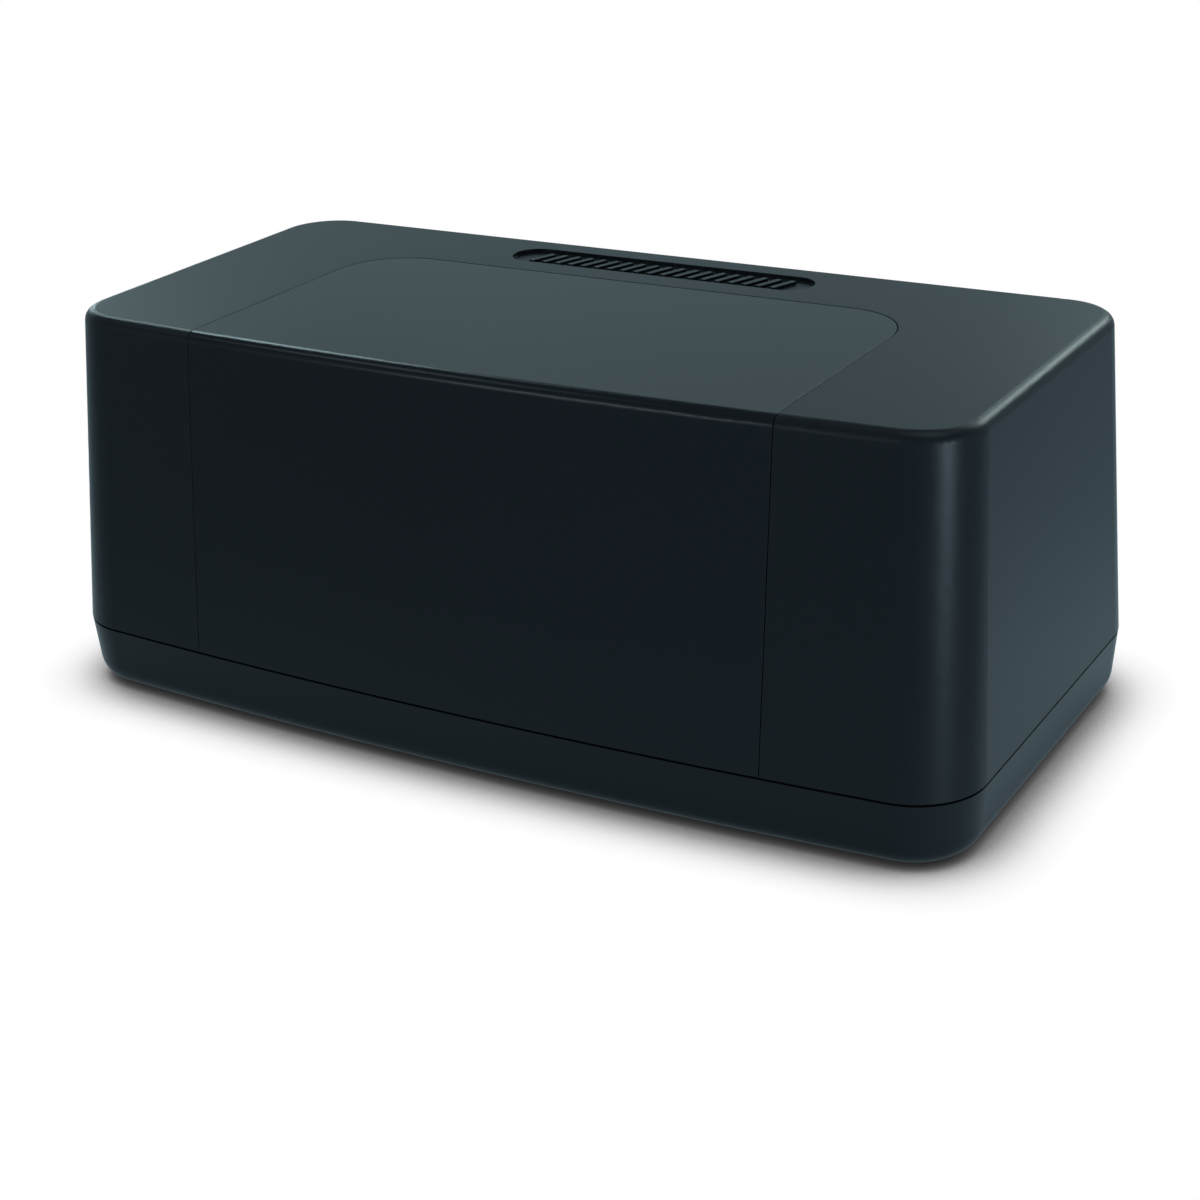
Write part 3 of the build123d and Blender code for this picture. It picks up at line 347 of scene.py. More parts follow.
@dataclass(frozen=True)
class PlatedMetal(Recipe):
    """Plated or bare metal with drawn lines, tarnish clouds and rounded edges.

    Attributes:
        roughness: Mean roughness.
        stretch, line_depth: Scale of the lines along each axis and their depth in metres.
        tarnish: Share by which the tarnish darkens the colour.
        edge: How far an edge reaches, in metres.
    """

    roughness: float = 0.28
    stretch: Point = (30.0, 900.0, 900.0)
    line_depth: float = 0.00001
    tarnish: float = 0.18
    edge: float = 0.0002

    def fill(self, build: MaterialBuilder) -> None:
        """Lay out the nodes of the material that is being built."""
        build.stretch(self.stretch)
        cloud = build.noise(0.6, detail=4.0, roughness=0.6)
        lines = build.noise(1.0, detail=2.0)
        tone = mixed_colour(build.tree, build.ranged(cloud, 0.0, 1.0), self.colour,
                            scaled(self.colour, 1.0 - self.tarnish))
        build.link(tone, "Base Color")
        build.link(build.ranged(lines, self.roughness - 0.05, self.roughness + 0.08), "Roughness")
        build.link(build.bump(lines, self.line_depth, 0.5, build.rounded(self.edge)), "Normal")
        build.set(Metallic=1.0)


@dataclass(frozen=True)
class SoftRubber(Recipe):
    """Dark rubber with a powdery bloom and a fine pebbled skin."""

    roughness: float = 0.8
    pebble: float = 1500.0
    bloom: float = 90.0
    bloomed: float = 1.9

    def fill(self, build: MaterialBuilder) -> None:
        """Lay out the nodes of the material that is being built."""
        pebbles = build.cells(self.pebble)
        bloom = build.noise(self.bloom, detail=4.0, roughness=0.6)
        tone = mixed_colour(build.tree, build.ranged(bloom, 0.0, 1.0, start=0.4, end=0.75), self.colour,
                            scaled(self.colour, self.bloomed))
        build.link(tone, "Base Color")
        build.link(build.ranged(bloom, self.roughness - 0.08, self.roughness + 0.1), "Roughness")
        build.link(build.bump(pebbles, depth=0.00005, strength=0.4), "Normal")
        build.set(Specular_IOR_Level=0.3)


@dataclass(frozen=True)
class CircuitLaminate(Recipe):
    """Glass-fibre board with a lacquer over woven cloth and faint copper tracks."""

    track: float = 130.0
    copper: float = 1.7
    weave: float = 900.0

    def fill(self, build: MaterialBuilder) -> None:
        """Lay out the nodes of the material that is being built."""
        tracks = build.pattern("TexBrick", "Fac", Scale=self.track, Mortar_Size=0.09, Mortar_Smooth=0.3,
                               Brick_Width=1.4, Row_Height=0.42)
        tone = mixed_colour(build.tree, build.ranged(tracks, 0.0, 1.0, start=0.2, end=0.8), self.colour,
                            scaled(self.colour, self.copper))
        build.link(tone, "Base Color")
        build.link(build.ranged(build.noise(self.weave, detail=1.0), 0.28, 0.42), "Roughness")
        build.link(build.bump(tracks, depth=0.00004, strength=0.6), "Normal")
        build.set(Coat_Weight=0.35, Coat_Roughness=0.2)


@dataclass(frozen=True)
class ClearGuide(Recipe):
    """Clear tinted plastic with a soft glow from the source under it."""

    glow: float = 0.35
    streak: float = 700.0

    def fill(self, build: MaterialBuilder) -> None:
        """Lay out the nodes of the material that is being built."""
        streaks = build.noise(self.streak, roughness=0.6)
        tone = mixed_colour(build.tree, build.ranged(streaks, 0.0, 1.0), self.colour,
                            scaled(self.colour, 1.15))
        build.link(tone, "Base Color")
        build.link(tone, "Emission Color")
        build.link(build.ranged(streaks, 0.12, 0.24), "Roughness")
        build.set(Emission_Strength=self.glow, Subsurface_Weight=0.3, Subsurface_Radius=(0.001, 0.002, 0.001))


@dataclass(frozen=True)
class Sintered(Recipe):
    """Pressed and fired ferrite with open pores."""

    pore: float = 1900.0
    dust: float = 260.0

    def fill(self, build: MaterialBuilder) -> None:
        """Lay out the nodes of the material that is being built."""
        dust = build.noise(self.dust, roughness=0.6)
        tone = mixed_colour(build.tree, build.ranged(dust, 0.0, 1.0), scaled(self.colour, 0.8),
                            scaled(self.colour, 1.3))
        build.link(tone, "Base Color")
        build.link(build.ranged(dust, 0.5, 0.68), "Roughness")
        build.link(build.bump(build.cells(self.pore), depth=0.00006, strength=0.5), "Normal")


class Finish(Enum):
    """Finishes of the antenna's pieces."""

    SHELL = MouldedPlastic("shell_plastic", (0.0050, 0.0062, 0.0076), roughness=0.34, level=0.075,
                           grain=2400.0, mottle=0.05)
    COVER = MouldedPlastic("cover_plastic", (0.0050, 0.0062, 0.0078), roughness=0.24, level=0.08,
                           grain=3200.0, grain_depth=0.00001, mottle=0.04)
    BASE = MouldedPlastic("base_plastic", (0.0050, 0.0062, 0.0076), roughness=0.36, level=0.075,
                          grain=2400.0, mottle=0.05, edge=0.00008)
    BAY = MouldedPlastic("bay_plastic", (0.030, 0.034, 0.038), roughness=0.5, level=0.35)
    FASCIA = MouldedPlastic("fascia_plastic", (0.080, 0.088, 0.097), roughness=0.38, level=0.45)
    KNOB = MouldedPlastic("knob_plastic", (0.012, 0.013, 0.014), roughness=0.4, level=0.45)
    BUTTON = MouldedPlastic("button_plastic", (0.42, 0.44, 0.47), roughness=0.34, level=0.5, mottle=0.05)
    PART = MouldedPlastic("component_plastic", (0.014, 0.014, 0.015), roughness=0.5, level=0.4)
    INSULATOR = MouldedPlastic("insulator_plastic", (0.72, 0.71, 0.66), level=0.4, mottle=0.04)
    RUBBER = SoftRubber("foot_rubber", (0.012, 0.012, 0.013))
    JACKET = SoftRubber("lead_jacket", (0.02, 0.02, 0.021), roughness=0.6)
    STEEL = PlatedMetal("hinge_steel", (0.58, 0.58, 0.59), roughness=0.34, stretch=(1400.0, 1400.0, 1400.0),
                        line_depth=0.0000015, tarnish=0.06)
    SCREW = PlatedMetal("screw_steel", (0.55, 0.55, 0.56), roughness=0.32)
    SOCKET = PlatedMetal("socket_metal", (0.72, 0.71, 0.66), roughness=0.16, stretch=(900.0, 60.0, 900.0))
    SHIELD = PlatedMetal("shield_metal", (0.68, 0.69, 0.70), roughness=0.35, stretch=(700.0, 40.0, 700.0))
    ELEMENT = PlatedMetal("element_metal", (0.78, 0.47, 0.30), roughness=0.3, tarnish=0.35)
    BOARD = CircuitLaminate("board_laminate", (0.02, 0.11, 0.05))
    LIGHT = ClearGuide("light_plastic", (0.30, 0.75, 0.42))
    FERRITE = Sintered("ferrite", (0.05, 0.05, 0.052))
    PRINT = MouldedPlastic("print_ink", (0.66, 0.69, 0.71), roughness=0.55, mottle=0.08, edge=0.00003)
    DARK_PRINT = MouldedPlastic("dark_ink", (0.035, 0.040, 0.045), roughness=0.55, edge=0.00003)
    TRIM = PlatedMetal("trim_metal", (0.60, 0.62, 0.64), roughness=0.24, stretch=(260.0, 260.0, 40.0))


class Wardrobe:
    """Keeps one material for each finish."""

    def __init__(self) -> None:
        """Start with no materials made."""
        self.made: dict[Finish, bpy.types.Material] = {}
        self.slots = {entry["slot"] for entry in frame["record"]["materials"]}

    def material(self, finish: Finish) -> bpy.types.Material:
        """Find the finish's material, or make it the first time.

        Args:
            finish: The finish.

        Returns:
            Its material.
        """
        if finish not in self.made:
            self.made[finish] = finish.value.make()
        return self.made[finish]

    def dress(self, finish: Finish, *nodes: str) -> None:
        """Give CAD nodes a finish.

        Args:
            finish: The finish.
            nodes: Names of the nodes.
        """
        for name in nodes:
            for slot in frame["nodes"][name].material_slots:
                slot.material = self.material(finish)
            log.info("%s in %s", name, finish.value.name)

    def finish_piece(self, piece: Piece, finish: Finish, body: str) -> None:
        """Give a new piece its finish and its body.

        Args:
            piece: The new piece.
            finish: The finish.
            body: Name of the body that it rides on.
        """
        piece.data.materials.clear()
        piece.data.materials.append(self.material(finish))
        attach(piece, body)
        log.info("%s in %s on %s", piece.name, finish.value.name, body)


# Modelling steps

class Bench:
    """Modelling steps that the new pieces share, worked with Blender's own operators."""

    @staticmethod
    def clear() -> None:
        """Deselect everything."""
        bpy.ops.object.select_all(action="DESELECT")

    @staticmethod
    def apply_place() -> None:
        """Put the selected pieces' places into their meshes."""
        bpy.ops.object.transform_apply(location=True, rotation=True, scale=True)

    @staticmethod
    def open_up() -> None:
        """Enter edit mode with the whole mesh selected."""
        bpy.ops.object.mode_set(mode="EDIT")
        bpy.ops.mesh.select_all(action="SELECT")

    @staticmethod
    def pick(piece: Piece) -> None:
        """Select one piece and make it active."""
        Bench.clear()
        piece.select_set(True)
        bpy.context.view_layer.objects.active = piece

    @staticmethod
    def settle(piece: Piece, name: str, angle: float = 35.0) -> Piece:
        """Name a piece, put its place into its mesh and smooth its rounded faces.

        Args:
            piece: The piece.
            name: Its name.
            angle: Largest angle between faces that is smoothed, in degrees.

        Returns:
            The same piece.
        """
        Bench.pick(piece)
        piece.name = name
        piece.data.name = name
        Bench.apply_place()
        bpy.ops.object.shade_smooth_by_angle(angle=radians(angle))
        return piece

    @staticmethod
    def close_up(reach: float = 1e-6) -> None:
        """Merge doubled points of the mesh in edit mode and turn its faces outwards.

        Args:
            reach: Largest distance between points that are merged.
        """
        bpy.ops.mesh.select_all(action="SELECT")
        bpy.ops.mesh.remove_doubles(threshold=reach)
        bpy.ops.mesh.select_all(action="SELECT")
        bpy.ops.mesh.normals_make_consistent(inside=False)

    @staticmethod
    def turned(profile: list[tuple[float, float]], centre: Point, along: Point, out: Point,
               sweep: float = FULL_TURN, steps: int = 64, same: float = 1e-7) -> Piece:
        """Turn a closed outline about an axis.

        Args:
            profile: Pairs of radius and place along the axis, in order round the outline.
            centre: Point on the axis where the place along it is zero.
            along: Direction of the axis.
            out: Direction in which the radius is measured at the start.
            sweep: Angle that the outline is turned through, in degrees.
            steps: Number of steps of the turn.
            same: Distance under which two points are the same.

        Returns:
            The turned piece.
        """
        middle, outwards, onwards = Vector(centre), Vector(out), Vector(along)
        places = [middle + outwards * radius + onwards * height for radius, height in profile]
        Bench.clear()
        bpy.ops.mesh.primitive_plane_add(size=0.001, location=places[0])
        piece = bpy.context.active_object
        Bench.apply_place()
        Bench.open_up()
        bpy.ops.mesh.merge(type="CENTER")
        for before, after in zip(places, places[1:]):
            bpy.ops.mesh.extrude_region_move(TRANSFORM_OT_translate={"value": after - before})
        ends = places[0], places[-1]
        Bench.select_points(piece, lambda point: min((point - end).length for end in ends) < same)
        bpy.ops.mesh.edge_face_add()
        bpy.ops.mesh.select_all(action="SELECT")
        bpy.ops.mesh.spin(steps=steps, angle=radians(sweep), center=centre, axis=along)
        Bench.close_up()
        if sweep < FULL_TURN:
            bpy.ops.mesh.select_all(action="SELECT")
            bpy.ops.mesh.fill_holes(sides=len(profile))
            Bench.close_up()
        bpy.ops.object.mode_set(mode="OBJECT")
        return piece

    @staticmethod
    def select_points(piece: Piece, chosen: Callable[[Vector], bool]) -> None:
        """Select the points of the mesh in edit mode that pass a test, and no others.

        Args:
            piece: The piece in edit mode.
            chosen: The test of a point's place.
        """
        bpy.ops.mesh.select_all(action="DESELECT")
        mesh = bmesh.from_edit_mesh(piece.data)
        for point in mesh.verts:
            if chosen(point.co):
                point.select = True
        mesh.select_flush(True)
        bmesh.update_edit_mesh(piece.data)

    @staticmethod
    def block(low: Point, high: Point, bevel: float, segments: int = 3) -> Piece:
        """Make a block with rounded edges.

        Args:
            low: Lowest corner.
            high: Highest corner.
            bevel: Radius of the edges.
            segments: Number of faces round each edge.

        Returns:
            The block.
        """
        middle = (Vector(low) + Vector(high)) / 2.0
        Bench.clear()
        bpy.ops.mesh.primitive_cube_add(size=1.0, location=middle, scale=Vector(high) - Vector(low))
        piece = bpy.context.active_object
        Bench.apply_place()
        Bench.open_up()
        bpy.ops.mesh.bevel(offset=bevel, segments=segments, affect="EDGES")
        Bench.close_up()
        bpy.ops.object.mode_set(mode="OBJECT")
        return piece

    @staticmethod
    def rod(radius: float, depth: float, middle: Point, sides: int, turn: float = 0.0) -> Piece:
        """Make a rod or a prism that lies from front to back.

        Args:
            radius: Radius to its corners.
            depth: Its length.
            middle: Its middle.
            sides: Number of its sides.
            turn: Turn about its own axis in degrees.

        Returns:
            The rod.
        """
        Bench.clear()
        bpy.ops.mesh.primitive_cylinder_add(vertices=sides, radius=radius, depth=depth, location=middle,
                                            rotation=(pi / 2.0, radians(turn), 0.0))
        return bpy.context.active_object

    @staticmethod
    def combine(piece: Piece, tool: Piece, operation: str) -> None:
        """Cut, join or cross a piece with a tool that is used up.

        Args:
            piece: The piece that stays.
            tool: The piece that is used up.
            operation: DIFFERENCE, UNION or INTERSECT.
        """
        Bench.pick(piece)
        step = piece.modifiers.new("combine", "BOOLEAN")
        step.operation = operation
        step.object = tool
        step.solver = "EXACT"
        bpy.ops.object.modifier_apply(modifier=step.name)
        bpy.data.objects.remove(tool)

    @staticmethod
    def soften(piece: Piece, width: float, segments: int = 2, angle: float = 30.0) -> None:
        """Round a piece's sharp edges with an applied bevel.

        Args:
            piece: The piece.
            width: Width of the bevel.
            segments: Number of faces across it.
            angle: Smallest angle between faces that counts as sharp, in degrees.
        """
        Bench.pick(piece)
        step = piece.modifiers.new("soften", "BEVEL")
        step.width = width
        step.segments = segments
        step.limit_method = "ANGLE"
        step.angle_limit = radians(angle)
        bpy.ops.object.modifier_apply(modifier=step.name)

    @staticmethod
    def lettering(text: str, place: Point, size: float, height: float) -> Piece:
        """Print a short word or number flat on a face.

        Args:
            text: The word or number.
            place: Middle of the print on the face.
            size: Height of the letters' body.
            height: How far the ink stands proud.

        Returns:
            The print as a mesh.
        """
        Bench.clear()
        bpy.ops.object.text_add(location=place)
        piece = bpy.context.active_object
        piece.data.body = text
        piece.data.size = size
        piece.data.align_x = "CENTER"
        piece.data.align_y = "CENTER"
        piece.data.resolution_u = 4
        piece.data.extrude = height / 2.0
        bpy.ops.object.convert(target="MESH")
        piece = bpy.context.active_object
        Bench.apply_place()
        Bench.open_up()
        Bench.close_up()
        bpy.ops.object.mode_set(mode="OBJECT")
        return piece


# Sub-assemblies

@dataclass
class SubAssembly:
    """Part of the antenna that is dressed and modelled together."""

    coats: ClassVar[dict[Finish, tuple[str, ...]]] = {}

    def dress(self, wardrobe: Wardrobe) -> None:
        """Give the sub-assembly's nodes their finishes."""
        for finish, nodes in self.coats.items():
            wardrobe.dress(finish, *nodes)

    def model(self, wardrobe: Wardrobe) -> None:
        """Make the new pieces of the sub-assembly, where it has any."""


class Casing(SubAssembly):
    """Upper shell, base tray, feet and the screws between them."""

    coats = {
        Finish.SHELL: ("upper_shell",),
        Finish.BASE: ("base_tray", "socket_recess"),
        Finish.RUBBER: tuple("foot_" + corner for corner in CORNERS),
        Finish.SCREW: ("casing_screws",),
    }


class FlipCover(SubAssembly):
    """Cover, its swan-neck arms, brackets, pins, clips and washers."""

    coats = {
        Finish.COVER: ("flip_cover",),
        Finish.SCREW: ("arm_screws", "bracket_screws"),
        Finish.STEEL: ("friction_washers",
                       *(f"hinge_{part}_{side}" for part in ("arm", "pin", "clip") for side in SIDES)),
        Finish.BAY: tuple("hinge_bracket_" + side for side in SIDES),
    }


class ControlBay(SubAssembly):
    """Tub behind the cover with its bumpers and screws."""

    coats = {
        Finish.BAY: ("control_bay",),
        Finish.RUBBER: tuple("bumper_" + corner for corner in CORNERS),
        Finish.SCREW: ("bay_screws",),
    }


@dataclass
class Controls(SubAssembly):
    """Fascia, gain knob, power button, band switch, light and their board."""

    coats = {
        Finish.FASCIA: ("control_fascia",),
        Finish.KNOB: ("gain_knob",),
        Finish.STEEL: ("gain_shaft",),
        Finish.BUTTON: ("power_button", "band_lever"),
        Finish.LIGHT: ("light_pipe", "power_led"),
        Finish.PART: ("gain_control", "power_switch", "band_switch", "header_strip"),
        Finish.BOARD: ("control_board",),
        Finish.SCREW: ("control_board_screws",),
    }
    middle_y: float = -0.0038
    face: float = 0.0617
    knob_x: float = 0.040
    knob_top: float = 0.0722
    pointer: tuple[float, float] = (0.0040, 0.0103)
    pointer_half: float = 0.00045
    pointer_depth: tuple[float, float] = (0.0005, 0.0001)
    pointer_edge: float = 0.0001
    dial_reach: float = 0.0172
    dial_sweep: float = 300.0
    dial_top: int = 10
    numeral_size: float = 0.0026
    button_x: float = -0.044
    button_top: float = 0.0642
    button_ring: tuple[float, float, float] = (0.0066, 0.0084, 0.0007)
    mark_radius: float = 0.0024
    mark_width: float = 0.0005
    mark_gap: float = 70.0
    mark_bar: tuple[float, float] = (0.0006, 0.0030)
    word_size: float = 0.0027
    word_drop: float = 0.0125
    number_drop: float = 0.0080
    light_x: float = -0.025
    light_ring: tuple[float, float, float] = (0.0018, 0.0026, 0.0003)
    band_x: float = -0.006
    band_travel: float = 0.004
    frame_length: float = 0.0165
    frame_width: float = 0.0107
    frame_rim: float = 0.0012
    frame_corner: float = 0.00216
    frame_bevel: float = 0.00012
    trim_angle: float = 40.0
    ink: float = 0.00008

    def collar(self, name: str, x: float, size: tuple[float, float, float]) -> Piece:
        """Turn a rounded trim ring that stands on the fascia.

        Args:
            name: The ring's name.
            x: Place of its middle.
            size: Inner radius, outer radius and height over the fascia.

        Returns:
            The ring.
        """
        inner, outer, height = size
        lip = height * 0.25
        slope = (outer - inner) * 0.35
        outline = [(inner, 0.0), (inner, height - lip), (inner + lip, height), (outer - slope, height),
                   (outer - slope * 0.3, height * 0.6), (outer, 0.0)]
        ring = Bench.turned(outline, (x, self.middle_y, self.face), Z_WAY, X_WAY)
        Bench.soften(ring, height * 0.12)
        return Bench.settle(ring, name, self.trim_angle)

    def slot_frame(self) -> Piece:
        """Make the raised frame round the band switch's slot.

        Returns:
            The frame.
        """
        Bench.clear()
        x = self.band_x + self.band_travel / 2.0
        bpy.ops.mesh.primitive_plane_add(size=1.0, location=(x, self.middle_y, self.face))
        rim = bpy.context.active_object
        rim.scale = (self.frame_length, self.frame_width, 1.0)
        Bench.apply_place()
        Bench.open_up()
        bpy.ops.mesh.bevel(offset=self.frame_corner, segments=6, affect="VERTICES")
        bpy.ops.mesh.select_all(action="SELECT")
        bpy.ops.mesh.inset(thickness=self.frame_rim)
        bpy.ops.mesh.delete(type="FACE")
        bpy.ops.object.mode_set(mode="OBJECT")
        step = rim.modifiers.new("rise", "SOLIDIFY")
        step.thickness = self.frame_rim / 2.0
        step.offset = 1.0
        bpy.ops.object.modifier_apply(modifier=step.name)
        Bench.soften(rim, self.frame_bevel)
        return Bench.settle(rim, "band_slot_frame", self.trim_angle)

    def pointer_inlay(self) -> Piece:
        """Make the bright bar that lies in the knob's groove.

        Returns:
            The bar.
        """
        start, end = (self.middle_y + reach for reach in self.pointer)
        bottom, top = (self.knob_top - depth for depth in self.pointer_depth)
        low = (self.knob_x - self.pointer_half, start, bottom)
        high = (self.knob_x + self.pointer_half, end, top)
        return Bench.settle(Bench.block(low, high, self.pointer_edge), "pointer_inlay")

    def dial_numerals(self) -> list[Piece]:
        """Print every second number of the gain dial outside its ticks.

        Returns:
            The numbers.
        """
        numerals = []
        for number in range(0, self.dial_top + 1, 2):
            angle = radians((number / self.dial_top - 0.5) * self.dial_sweep)
            place = (self.knob_x + sin(angle) * self.dial_reach, self.middle_y + cos(angle) * self.dial_reach,
                     self.face + self.ink / 2.0)
            numeral = Bench.lettering(str(number), place, self.numeral_size, self.ink)
            numerals.append(Bench.settle(numeral, f"dial_number_{number}"))
        return numerals

    def power_mark(self) -> tuple[Piece, Piece]:
        """Print the open ring and bar of a power mark on the button.

        Returns:
            The ring and the bar.
        """
        half = self.mark_width / 2.0
        top = self.button_top
        inner, outer = self.mark_radius - half, self.mark_radius + half
        outline = [(inner, 0.0), (inner, self.ink), (outer, self.ink), (outer, 0.0)]
        start = radians(90.0 + self.mark_gap / 2.0)
        ring = Bench.turned(outline, (self.button_x, self.middle_y, top), Z_WAY,
                            (cos(start), sin(start), 0.0), sweep=FULL_TURN - self.mark_gap, steps=48)
        front, back = (self.middle_y + reach for reach in self.mark_bar)
        bar = Bench.block((self.button_x - half, front, top), (self.button_x + half, back, top + self.ink),
                          bevel=self.ink * 0.3, segments=2)
        return Bench.settle(ring, "power_mark_ring"), Bench.settle(bar, "power_mark_bar")

    def labels(self) -> list[Piece]:
        """Print the generic words and numbers beside the button and the slide.

        Returns:
            The prints.
        """
        level = self.face + self.ink / 2.0
        words = (("ON_OFF", "ON / OFF", self.button_x, self.word_drop),
                 ("band_1", "1", self.band_x, self.number_drop),
                 ("band_2", "2", self.band_x + self.band_travel, self.number_drop))
        prints = []
        for name, text, x, drop in words:
            word = Bench.lettering(text, (x, self.middle_y - drop, level), self.word_size, self.ink)
            prints.append(Bench.settle(word, "label_" + name))
        return prints

    def model(self, wardrobe: Wardrobe) -> None:
        """Make the new pieces of the controls and finish them."""
        rims = (self.collar("button_collar", self.button_x, self.button_ring),
                self.collar("light_collar", self.light_x, self.light_ring), self.slot_frame())
        for piece in rims:
            wardrobe.finish_piece(piece, Finish.TRIM, "casing")
        wardrobe.finish_piece(self.pointer_inlay(), Finish.PRINT, "knob")
        for piece in self.dial_numerals() + self.labels():
            wardrobe.finish_piece(piece, Finish.PRINT, "casing")
        for piece in self.power_mark():
            wardrobe.finish_piece(piece, Finish.DARK_PRINT, "button")


@dataclass
class Receiver(SubAssembly):
    """Antenna board with its metal elements, balun, amplifier and rear sockets."""

    coats = {
        Finish.BOARD: ("antenna_board", "amplifier_board"),
        Finish.ELEMENT: ("balun_wires",
                         *(f"{band}_element_{side}" for band in ("uhf", "vhf") for side in SIDES)),
        Finish.FERRITE: ("balun_core",),
        Finish.INSULATOR: ("board_spacers", "socket_insulator"),
        Finish.SHIELD: ("shield_can",),
        Finish.JACKET: ("feed_lead",),
        Finish.PART: ("header_socket", "power_inlet"),
        Finish.SOCKET: ("output_socket", "socket_nut"),
        Finish.SCREW: ("antenna_board_screws", "amplifier_screws"),
    }
    socket_x: float = -0.014
    socket_z: float = 0.035
    bore: float = 0.0036
    barrel: float = 0.00476
    thread_root: float = 0.00432
    neck: float = 0.0052
    block_half: float = 0.0055
    block_front: float = 0.0516
    wall_inside: float = 0.0565
    wall_outside: float = 0.0586
    neck_end: float = 0.0606
    tip: float = 0.0696
    tip_chamfer: tuple[float, float] = (0.0004, 0.0005)
    bore_chamfer: float = 0.0003
    neck_lap: float = 0.0002
    drill_length: float = 0.02
    block_bevel: float = 0.0004
    pitch: float = 0.0008
    thread_stop: float = 0.0006
    nut_flats: float = 0.013
    nut_gap: float = 0.00005
    nut_face: float = 0.88
    nut_chamfer: float = 0.0005

    def thread(self) -> list[tuple[float, float]]:
        """Give the barrel's outside as radius and place, from the neck to the tip.

        Returns:
            The points of the thread's ridges and roots.
        """
        start = self.neck_end + self.pitch
        count = int((self.tip - self.thread_stop - start) / self.pitch)
        points = [(self.barrel, self.neck_end), (self.barrel, start - self.pitch * 0.3)]
        for index in range(count):
            root = start + self.pitch * index
            points += [(self.thread_root, root), (self.thread_root, root + self.pitch * 0.15),
                       (self.barrel, root + self.pitch * 0.5), (self.barrel, root + self.pitch * 0.65)]
        narrowing, length = self.tip_chamfer
        return points + [(self.barrel, self.tip - length), (self.barrel - narrowing, self.tip)]

    def coaxial_socket(self) -> Piece:
        """Turn the threaded barrel and neck, and join them to the square body behind the wall.

        Returns:
            The socket's metal body.
        """
        inner = [(self.bore + self.bore_chamfer, self.tip), (self.bore, self.tip - self.bore_chamfer),
                 (self.bore, self.block_front)]
        outer = [(self.neck, self.block_front), (self.neck, self.neck_end)]
        x, z, half = self.socket_x, self.socket_z, self.block_half
        barrel = Bench.turned(outer + self.thread() + inner, (x, 0.0, z), Y_WAY, X_WAY, steps=ROUND_STEPS)
        body = Bench.block((x - half, self.block_front, z - half), (x + half, self.wall_inside, z + half),
                           self.block_bevel)
        drill = Bench.rod(self.neck - self.neck_lap, self.drill_length, (x, self.wall_inside, z), ROUND_STEPS)
        Bench.combine(body, drill, "DIFFERENCE")
        Bench.pick(barrel)
        body.select_set(True)
        bpy.ops.object.join()
        return Bench.settle(barrel, "coaxial_socket", 25.0)

    def hexagon_nut(self) -> Piece:
        """Cross a hexagon with a chamfered disc and bore it for the neck.

        Returns:
            The nut.
        """
        corner = self.nut_flats / 2.0 / cos(radians(30.0))
        depth = self.neck_end - self.wall_outside
        middle = (self.socket_x, (self.neck_end + self.wall_outside) / 2.0, self.socket_z)
        nut = Bench.rod(corner, depth * 1.5, middle, 6, turn=30.0)
        end, bore, face = depth / 2.0, self.neck + self.nut_gap, corner * self.nut_face
        side = end - self.nut_chamfer
        lens = [(bore, -end), (face, -end), (corner, -side), (corner, side), (face, end), (bore, end)]
        Bench.combine(nut, Bench.turned(lens, middle, Y_WAY, X_WAY, steps=ROUND_STEPS), "INTERSECT")
        return Bench.settle(nut, "hexagon_nut", 20.0)

    def model(self, wardrobe: Wardrobe) -> None:
        """Make the socket's threaded body and its nut, which stand for their plain nodes."""
        for piece, node in ((self.coaxial_socket(), "output_socket"), (self.hexagon_nut(), "socket_nut")):
            wardrobe.finish_piece(piece, Finish.SOCKET, "casing")
            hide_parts(node)


# Studio

@dataclass
class Softbox:
    """Rectangular soft lamp round the object, aimed at its middle."""

    name: str
    azimuth: float
    elevation: float
    distance: float
    size: tuple[float, float]
    power: float
    colour: Colour
    aim: Point = (0.0, 0.0, 0.06)

    def light(self) -> None:
        """Put the lamp in the scene."""
        data = bpy.data.lights.new(self.name, "AREA")
        data.shape = "RECTANGLE"
        data.size, data.size_y = self.size
        data.energy = self.power
        data.color = self.colour
        lamp = bpy.data.objects.new(self.name, data)
        bpy.context.collection.objects.link(lamp)
        round_turn, rise = radians(self.azimuth), radians(self.elevation)
        way = Vector((cos(round_turn) * cos(rise), sin(round_turn) * cos(rise), sin(rise)))
        lamp.location = Vector(self.aim) + way * self.distance
        lamp.rotation_euler = way.to_track_quat("Z", "Y").to_euler()


